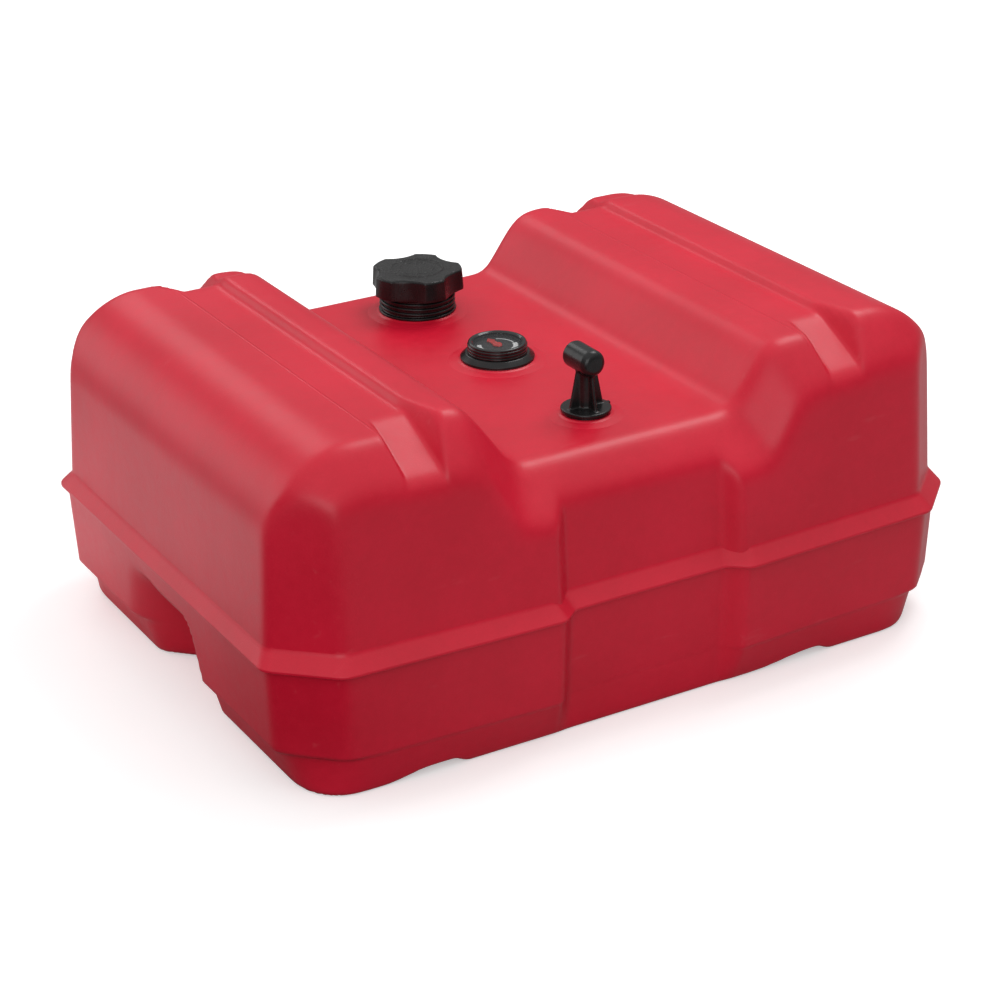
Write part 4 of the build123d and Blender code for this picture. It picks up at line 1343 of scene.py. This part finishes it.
# ---------------------------------------------------------------- gauge
@dataclass
class FloatGauge:
    """Coned gauge body with ribbed bezel, clear lens, printed dial and red pointer."""

    finishes: Finishes
    foot: tuple[float, float] = (29.0, 210.4)
    bezel: tuple[float, float, float] = (23.4, 18.9, 223.7)
    ribs: int = 3
    pointer_angle: float = 92.0

    def body(self) -> None:
        """Cone, spigot and web."""
        r, z = self.foot
        spigot = [(19.6, 190, 0.4), (21.6, 190, 0.4), (23.3, 201, 0.3), (23.3, 203, 0.3), (22.2, 203, 0)]
        cone = [(22.2, z, 0), (r, z, 0.35), (r, z + 1.1, 0.6), (25.4, z + 4.3, 0.9), (24.9, z + 4.6, 0.4)]
        cup = [(20.6, z + 4.7, 0), (20.6, 221.2, 0.3), (18.5, 221.2, 0.3), (18.5, 217.4, 0.2)]
        web = [(1.25, 217.4, 0), (1.25, 214.6, 0), (19.6, 214.6, 0)]
        outline = softened(spigot + cone + cup + web, steps=4)
        mesh = moved(turned("gauge_cone", outline, 128), y=GAUGE_Y)
        piece(mesh, self.finishes.satin, "tank", ("gauge_body",), sharp=50)

    def bezel_ring(self) -> None:
        """Ribbed ring with a glossy rounded lip."""
        outer, lip, top = self.bezel
        base, lens_top = 215.0, 222.6
        pitch = (lens_top - 0.4 - base) / self.ribs
        corners = [(20.7, base, 0)]
        for i in range(self.ribs):
            z = base + i * pitch
            corners += [(outer, z + 0.02, 0.35), (outer, z + 0.62 * pitch, 0.6),
                        (outer - 0.9, z + 0.72 * pitch, 0.25), (outer - 0.9, z + 0.98 * pitch, 0.25)]
        corners += [(outer - 0.5, lens_top + 0.1, 0.5), (outer - 1.4, top - 0.1, 1.5),
                    (outer - 3.0, top, 1.2), (lip + 0.4, top - 0.8, 0.8), (lip, lens_top, 0),
                    (20.7, lens_top, 0)]
        mesh = moved(turned("gauge_ring", softened(corners, steps=5), 144), y=GAUGE_Y)
        piece(mesh, self.finishes.polished, "tank", ("gauge_bezel",), sharp=60)

    def lens(self) -> None:
        """Slightly domed clear disc."""
        rim, low, high = 20.4, 221.25, 222.6
        inner = [(r, high + 0.9 * (1 - (r / 19.0) ** 2)) for r in (18.4, 16, 13, 10, 7, 4, 2, 0)]
        outline = np.array([(0, low), (8, low), (16, low), (rim - 0.2, low), (rim, low + 0.2),
                            (rim, high - 0.1), (rim - 0.2, high)] + inner)
        mesh = moved(turned("gauge_glass", outline, 128), y=GAUGE_Y)
        piece(mesh, self.finishes.lens, "tank", ("gauge_lens",), sharp=50)

    def dial(self) -> None:
        """Printed disc with a hole for the spindle."""
        outline = softened([(1.5, 217.45, 0), (18.2, 217.45, 0.2), (18.2, 219.5, 0.2), (1.5, 219.5, 0.1)], 3)
        mesh = moved(turned("gauge_face", outline, 128), y=GAUGE_Y)
        piece(mesh, self.finishes.dial, "tank", ("gauge_dial",), sharp=50)

    def pointer(self) -> None:
        """Broad tapering blade with a round hub, on its spindle and socket."""
        tip, head, tail = (14.2, 0.0, 0.6), [(9.2, 4.0, 0.5), (8.8, 2.5, 0.4)], (-4.6, 2.3, 1.4)
        half = [*head, tail]
        blade = softened([tip, *half, *((x, -y, r) for x, y, r in reversed(half))], steps=4)
        turn = radians(self.pointer_angle)
        spin = np.array([[cos(turn), sin(turn)], [-sin(turn), cos(turn)]])
        middle = blade.mean(axis=0)
        rows = []
        for shrink, z in ((0.0, 219.75), (0.0, 220.35), (0.12, 220.5), (0.35, 220.58)):
            inward = middle - blade
            length = np.linalg.norm(inward, axis=1, keepdims=True)
            flat = (blade + inward / length * shrink) @ spin
            rows.append(np.column_stack([flat, np.full(len(flat), z)]))
        count = len(blade)
        faces = ring_faces(len(rows), count)
        faces += [tuple(reversed(range(count))), tuple(range(3 * count, 4 * count))]
        plate = mesh_from("blade", np.concatenate(rows), faces)
        hub = turned("hub", softened([(0, 219.6, 0), (3.8, 219.7, 0.1), (3.8, 220.85, 0.5), (2.4, 221.0, 0.3),
                                      (1.6, 220.7, 0.3), (0, 220.7, 0)], 4, closed=False), 48)
        stem = turned("stem", softened([(0, 201, 0), (3.4, 201, 0.4), (3.4, 209, 0.4), (1.2, 209, 0.2),
                                        (1.2, 219.9, 0), (0, 219.9, 0)], 3, closed=False), 32)
        mesh = moved(joined("needle_blade", [plate, hub, stem]), y=GAUGE_Y)
        piece(mesh, self.finishes.needle, "needle", ("gauge_pointer",), sharp=40)

    def build(self) -> None:
        """Builds the gauge's visible pieces."""
        self.body()
        self.bezel_ring()
        self.lens()
        self.dial()
        self.pointer()


# ---------------------------------------------------------------- pickup
@dataclass
class FuelPickup:
    """Swivelling pickup: base disc, finned post and barrel moulded in one with soft fillets."""

    finishes: Finishes
    voxel: float = 0.5
    base_z: float = 211.1

    def distance(self, form: Form) -> Term:
        """Signed distance to the moulding, about the post's axis.

        Args:
            form: the tree that reads the sizes.

        Returns:
            The distance in millimetres.
        """
        g = form.graph
        x, y, z = g.parts(g.scaled(g.term("GeometryNodeInputPosition"), 1 / MM))
        base, axis_z, barrel_r = form.size("Base"), form.size("Barrel Height"), form.size("Barrel Radius")
        radius = g.math("SQRT", x * x + y * y)
        half_disc = form.size("Disc Thickness") / 2
        disc = g.highest(radius - form.size("Disc Radius"), abs(z - base - half_disc) - half_disc, 2.0)
        nub = g.highest(g.highest(abs(x - 18.4) - 2.4, abs(y) - 1.5, 1.0),
                        abs(z - base - half_disc) - half_disc + 0.2, 1.0)
        disc = g.lowest(disc, nub, 0.8)
        share = (z - base) / (axis_z - base)
        width = form.size("Fin Foot") + (form.size("Fin Neck") - form.size("Fin Foot")) * share
        half_fin = form.size("Fin Thickness") / 2
        fins = g.lowest(g.highest(abs(y) - half_fin, abs(x) - width, 1.3),
                        g.highest(abs(x) - half_fin, abs(y) - width, 1.3), 2.2)
        post = g.lowest(fins, radius - form.size("Core Radius"), 1.8)
        post = g.highest(g.highest(post, base - z), z - axis_z, 1.0)
        around = g.math("SQRT", x * x + (z - axis_z) * (z - axis_z))
        barrel = g.rounded(around - barrel_r, -y - form.size("Barrel Front"), form.size("Nose Radius"))
        barrel = g.highest(barrel, y - form.size("Barrel Back"), 1.6)
        port = g.highest(around - form.size("Port Radius"), form.size("Barrel Back") - 12.0 - y, 0.5)
        body = g.lowest(g.lowest(disc, post, 2.6), barrel, 2.6)
        return g.highest(body, -port, 0.9)

    def moulding(self) -> bpy.types.Mesh:
        """Fills the form with voxels and skins it.

        Returns:
            The visible moulding's mesh, about the post's axis.
        """
        form = Form("pickup_form", {
            "Base": self.base_z, "Disc Radius": 19.0, "Disc Thickness": 2.9, "Core Radius": 5.8,
            "Fin Foot": 15.2, "Fin Neck": 7.1, "Fin Thickness": 2.2, "Barrel Radius": 10.2,
            "Barrel Height": 250.2, "Barrel Front": 13.4, "Barrel Back": 16.5, "Nose Radius": 6.0,
            "Port Radius": 5.55})
        g = form.graph
        low, high = (-22.0, -22.0, self.base_z - 2), (23.5, 22.0, 262.0)
        count = [int((b - a) / self.voxel) for a, b in zip(low, high)]
        cube = g.term("GeometryNodeVolumeCube", None, {
            "Density": -self.distance(form), "Background": -2.0, "Min": tuple(v * MM for v in low),
            "Max": tuple(v * MM for v in high), "Resolution X": count[0], "Resolution Y": count[1],
            "Resolution Z": count[2]})
        skin = g.term("GeometryNodeVolumeToMesh", None, {"Volume": cube, "Threshold": 0.0, "Adaptivity": 0.0})
        form.finish(skin, self.finishes.satin)
        return form.mesh()

    def build(self) -> None:
        """Builds the moulding and its spigot."""
        wall = [(4.8, 184, 0.3), (8.9, 184, 0.8), (8.9, 211.6, 0), (4.8, 211.6, 0)]
        spigot = turned("spigot", softened(wall, 3), 48)
        mesh = moved(joined("pickup_skin", [self.moulding(), spigot]), y=PICKUP_Y)
        piece(mesh, self.finishes.satin, "pickup", ("pickup_elbow",))


# ---------------------------------------------------------------- pieces kept from the frame
@dataclass
class KeptPieces:
    """Nodes of the frame that show as they are and only get a finish."""

    finishes: Finishes

    def build(self) -> None:
        """Dresses every node that no piece stands for."""
        replaced = {n for o in bpy.context.scene.objects for n in o.get("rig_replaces", [])}
        for entry in frame["record"]["subparts"]:
            name = entry["node"]
            if name in replaced:
                continue
            mesh = frame["nodes"][name].data
            mesh.materials.clear()
            mesh.materials.append(self.finishes.for_slot(entry["material_slot"]))
            log.info("%s: kept, %s", name, entry["material_slot"])


# ---------------------------------------------------------------- studio
class LampSide(Enum):
    """Where a soft lamp stands."""

    OVERHEAD = "overhead"
    FRONT = "front"
    BACK = "back"


@dataclass(frozen=True)
class Lamp:
    """A square soft lamp."""

    side: LampSide
    place: tuple[float, float, float]
    size: float
    power: float


def posed(thing: bpy.types.Object, right: np.ndarray, up: np.ndarray, back: np.ndarray,
          place: tuple[float, float, float]) -> None:
    """Puts a camera or lamp in the scene.

    Args:
        thing: the new object, which looks along its own -Z.
        right: its X direction.
        up: its Y direction.
        back: its Z direction.
        place: where it stands.
    """
    matrix = Matrix.Identity(4)
    for column, values in enumerate((right, up, back, place)):
        for row in range(3):
            matrix[row][column] = float(values[row])
    thing.matrix_world = matrix
    bpy.context.scene.collection.objects.link(thing)


@dataclass
class Studio:
    """White sweep, soft lamps and the camera.

    The camera's angles are degrees, its place is metres and its focal length is pixels of the image.
    horizon and zenith pair a direction's upward part with the world's level there. The window is a soft
    bright patch of the world, whose edge runs between two cosines. Each card is a soft-edged disc of
    another grey on the floor, seen only by reflections: centre, radius and grey. glow is how bright the
    floor shows itself near the tank and far from it.
    """

    lamps: tuple[Lamp, ...] = (
        Lamp(LampSide.OVERHEAD, (1.0, 0.28, 2.0), 0.9, 14.0),
        Lamp(LampSide.BACK, (0.0, 1.75, 1.45), 0.7, 3.0),
        Lamp(LampSide.FRONT, (-1.5, -2.1, 1.1), 1.6, 19.0),
    )
    cards: tuple[tuple[tuple[float, float], float, float], ...] = (
        ((-560.0, 360.0), 460.0, 0.95), ((-600.0, -420.0), 520.0, 0.02))
    card_grey: float = 0.45
    target: tuple[float, float, float] = (0.0, 0.0, 0.12)
    horizon: tuple[float, float] = (0.2, 0.24)
    zenith: tuple[float, float] = (0.9, 0.98)
    window_aim: tuple[float, float, float] = (-0.56, 0.79, 0.20)
    window_edge: tuple[float, float] = (0.90, 0.975)
    window_level: float = 1.5
    glow_reach: tuple[float, float] = (500.0, 1800.0)
    glow: tuple[float, float] = (0.38, 1.0)
    floor_half: float = 9000.0
    floor_steps: int = 24
    sensor: float = 36.0
    image: float = 1000.0
    turn: float = -30.24
    rise: float = 24.81
    roll: float = -0.82
    focal: float = 2567.4
    eye: tuple[float, float, float] = (-0.9358, -1.6070, 0.9464)

    def camera(self) -> None:
        """Long-lens camera looking down on the tank's near corner."""
        a, e, r = radians(self.turn), radians(self.rise), radians(self.roll)
        right = np.array([cos(a), sin(a), 0.0])
        back = np.array([sin(a) * cos(e), -cos(a) * cos(e), sin(e)])
        up = np.cross(right, -back)
        data = bpy.data.cameras.new("camera")
        data.sensor_width, data.lens = self.sensor, self.focal * self.sensor / self.image
        data.clip_end = 60.0
        camera = bpy.data.objects.new("camera", data)
        posed(camera, cos(r) * right + sin(r) * up, cos(r) * up - sin(r) * right, back, self.eye)
        bpy.context.scene.camera = camera

    def light(self) -> None:
        """Soft lamps that all face the tank."""
        for lamp in self.lamps:
            data = bpy.data.lights.new(f"lamp_{lamp.side.value}", "AREA")
            data.shape, data.size, data.energy = "SQUARE", lamp.size, lamp.power
            back = np.array(lamp.place) - np.array(self.target)
            back /= np.linalg.norm(back)
            right = np.cross([0.0, 0.0, 1.0], back)
            right /= np.linalg.norm(right)
            posed(bpy.data.objects.new(data.name, data), right, np.cross(back, right), back, lamp.place)

    def seen(self, g: Graph) -> Term:
        """Marks the rays that show the backdrop.

        Args:
            g: the tree.

        Returns:
            One for rays from the camera or through glass, otherwise zero.
        """
        path = g.node("ShaderNodeLightPath")
        return g.highest(Term(g, path.outputs["Is Camera Ray"]), Term(g, path.outputs["Is Transmission Ray"]))

    def world(self) -> None:
        """White where it is seen; as a light, a broad ceiling that fades down, and one soft window."""
        world = bpy.data.worlds.new("studio")
        world.use_nodes = True
        bpy.context.scene.world = world
        g = Graph(world.node_tree)
        direction = g.node("ShaderNodeTexCoord").outputs["Generated"]
        east, north, up = g.parts(Term(g, direction))
        (low, dim), (high, bright) = self.horizon, self.zenith
        aim_x, aim_y, aim_z = self.window_aim
        window = g.ramp(east * aim_x + north * aim_y + up * aim_z, *self.window_edge, 0.0, self.window_level)
        ceiling = g.ramp(up, low, high, dim, bright) + window
        seen = self.seen(g)
        strength = seen + (1.0 - seen) * ceiling
        sky = g.node("ShaderNodeBackground", None, {"Color": (1.0, 1.0, 1.0, 1.0), "Strength": strength})
        g.node("ShaderNodeOutputWorld", None, {"Surface": sky.outputs[0]})

    def floor(self) -> None:
        """Pale floor that keeps the tank's shadow and reads white where it is seen."""
        steps = self.floor_steps
        line = np.linspace(-self.floor_half, self.floor_half, steps + 1)
        vertices = np.array([(x, y, 0.0) for x in line for y in line])
        row = steps + 1
        faces = [(i * row + j, (i + 1) * row + j, (i + 1) * row + j + 1, i * row + j + 1)
                 for i in range(steps) for j in range(steps)]
        mesh = mesh_from("floor", vertices, faces)
        p = Paint("floor_white")
        x, y, _ = p.centred()
        mottle = p.noise(60.0, 3.0)
        pale = p.blend(mottle, opaque((0.80, 0.80, 0.80)), opaque((0.83, 0.83, 0.83)))
        card = opaque((self.card_grey,) * 3)
        for (card_x, card_y), reach, level in self.cards:
            away = p.math("SQRT", (x - card_x) * (x - card_x) + (y - card_y) * (y - card_y))
            card = p.blend(p.ramp(away, reach * 0.5, reach, 1.0, 0.0), card, opaque((level, level, level)))
        seen = self.seen(p)
        tone = p.blend(seen, card, pale)
        glow = seen * p.ramp(p.math("SQRT", x * x + y * y), *self.glow_reach, *self.glow)
        shine = p.blend(glow, opaque((0.0, 0.0, 0.0)), opaque((1.0, 1.0, 1.0)))
        material = p.dress(Base_Color=tone, Roughness=0.9, Specular_IOR_Level=0.0, Emission_Color=shine,
                           Emission_Strength=1.0)
        mesh.materials.append(material)
        floor = bpy.data.objects.new("floor", mesh)
        bpy.context.scene.collection.objects.link(floor)

    def build(self) -> None:
        """Sets up the studio and the view transform."""
        bpy.context.scene.view_settings.view_transform = "Standard"
        self.camera()
        self.light()
        self.world()
        self.floor()


def main() -> None:
    """Builds the tank's pieces in order, then the studio."""
    logging.basicConfig(level=logging.INFO, format="%(name)s: %(message)s")
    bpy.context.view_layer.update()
    finishes = Finishes.build()
    for maker in (TankShell(finishes), FillerNeck(finishes), ScrewCap(finishes), FloatGauge(finishes),
                  FuelPickup(finishes), KeptPieces(finishes)):
        maker.build()
        log.info("%s done", type(maker).__name__)
    Studio().build()


if __name__ == "__main__":
    main()
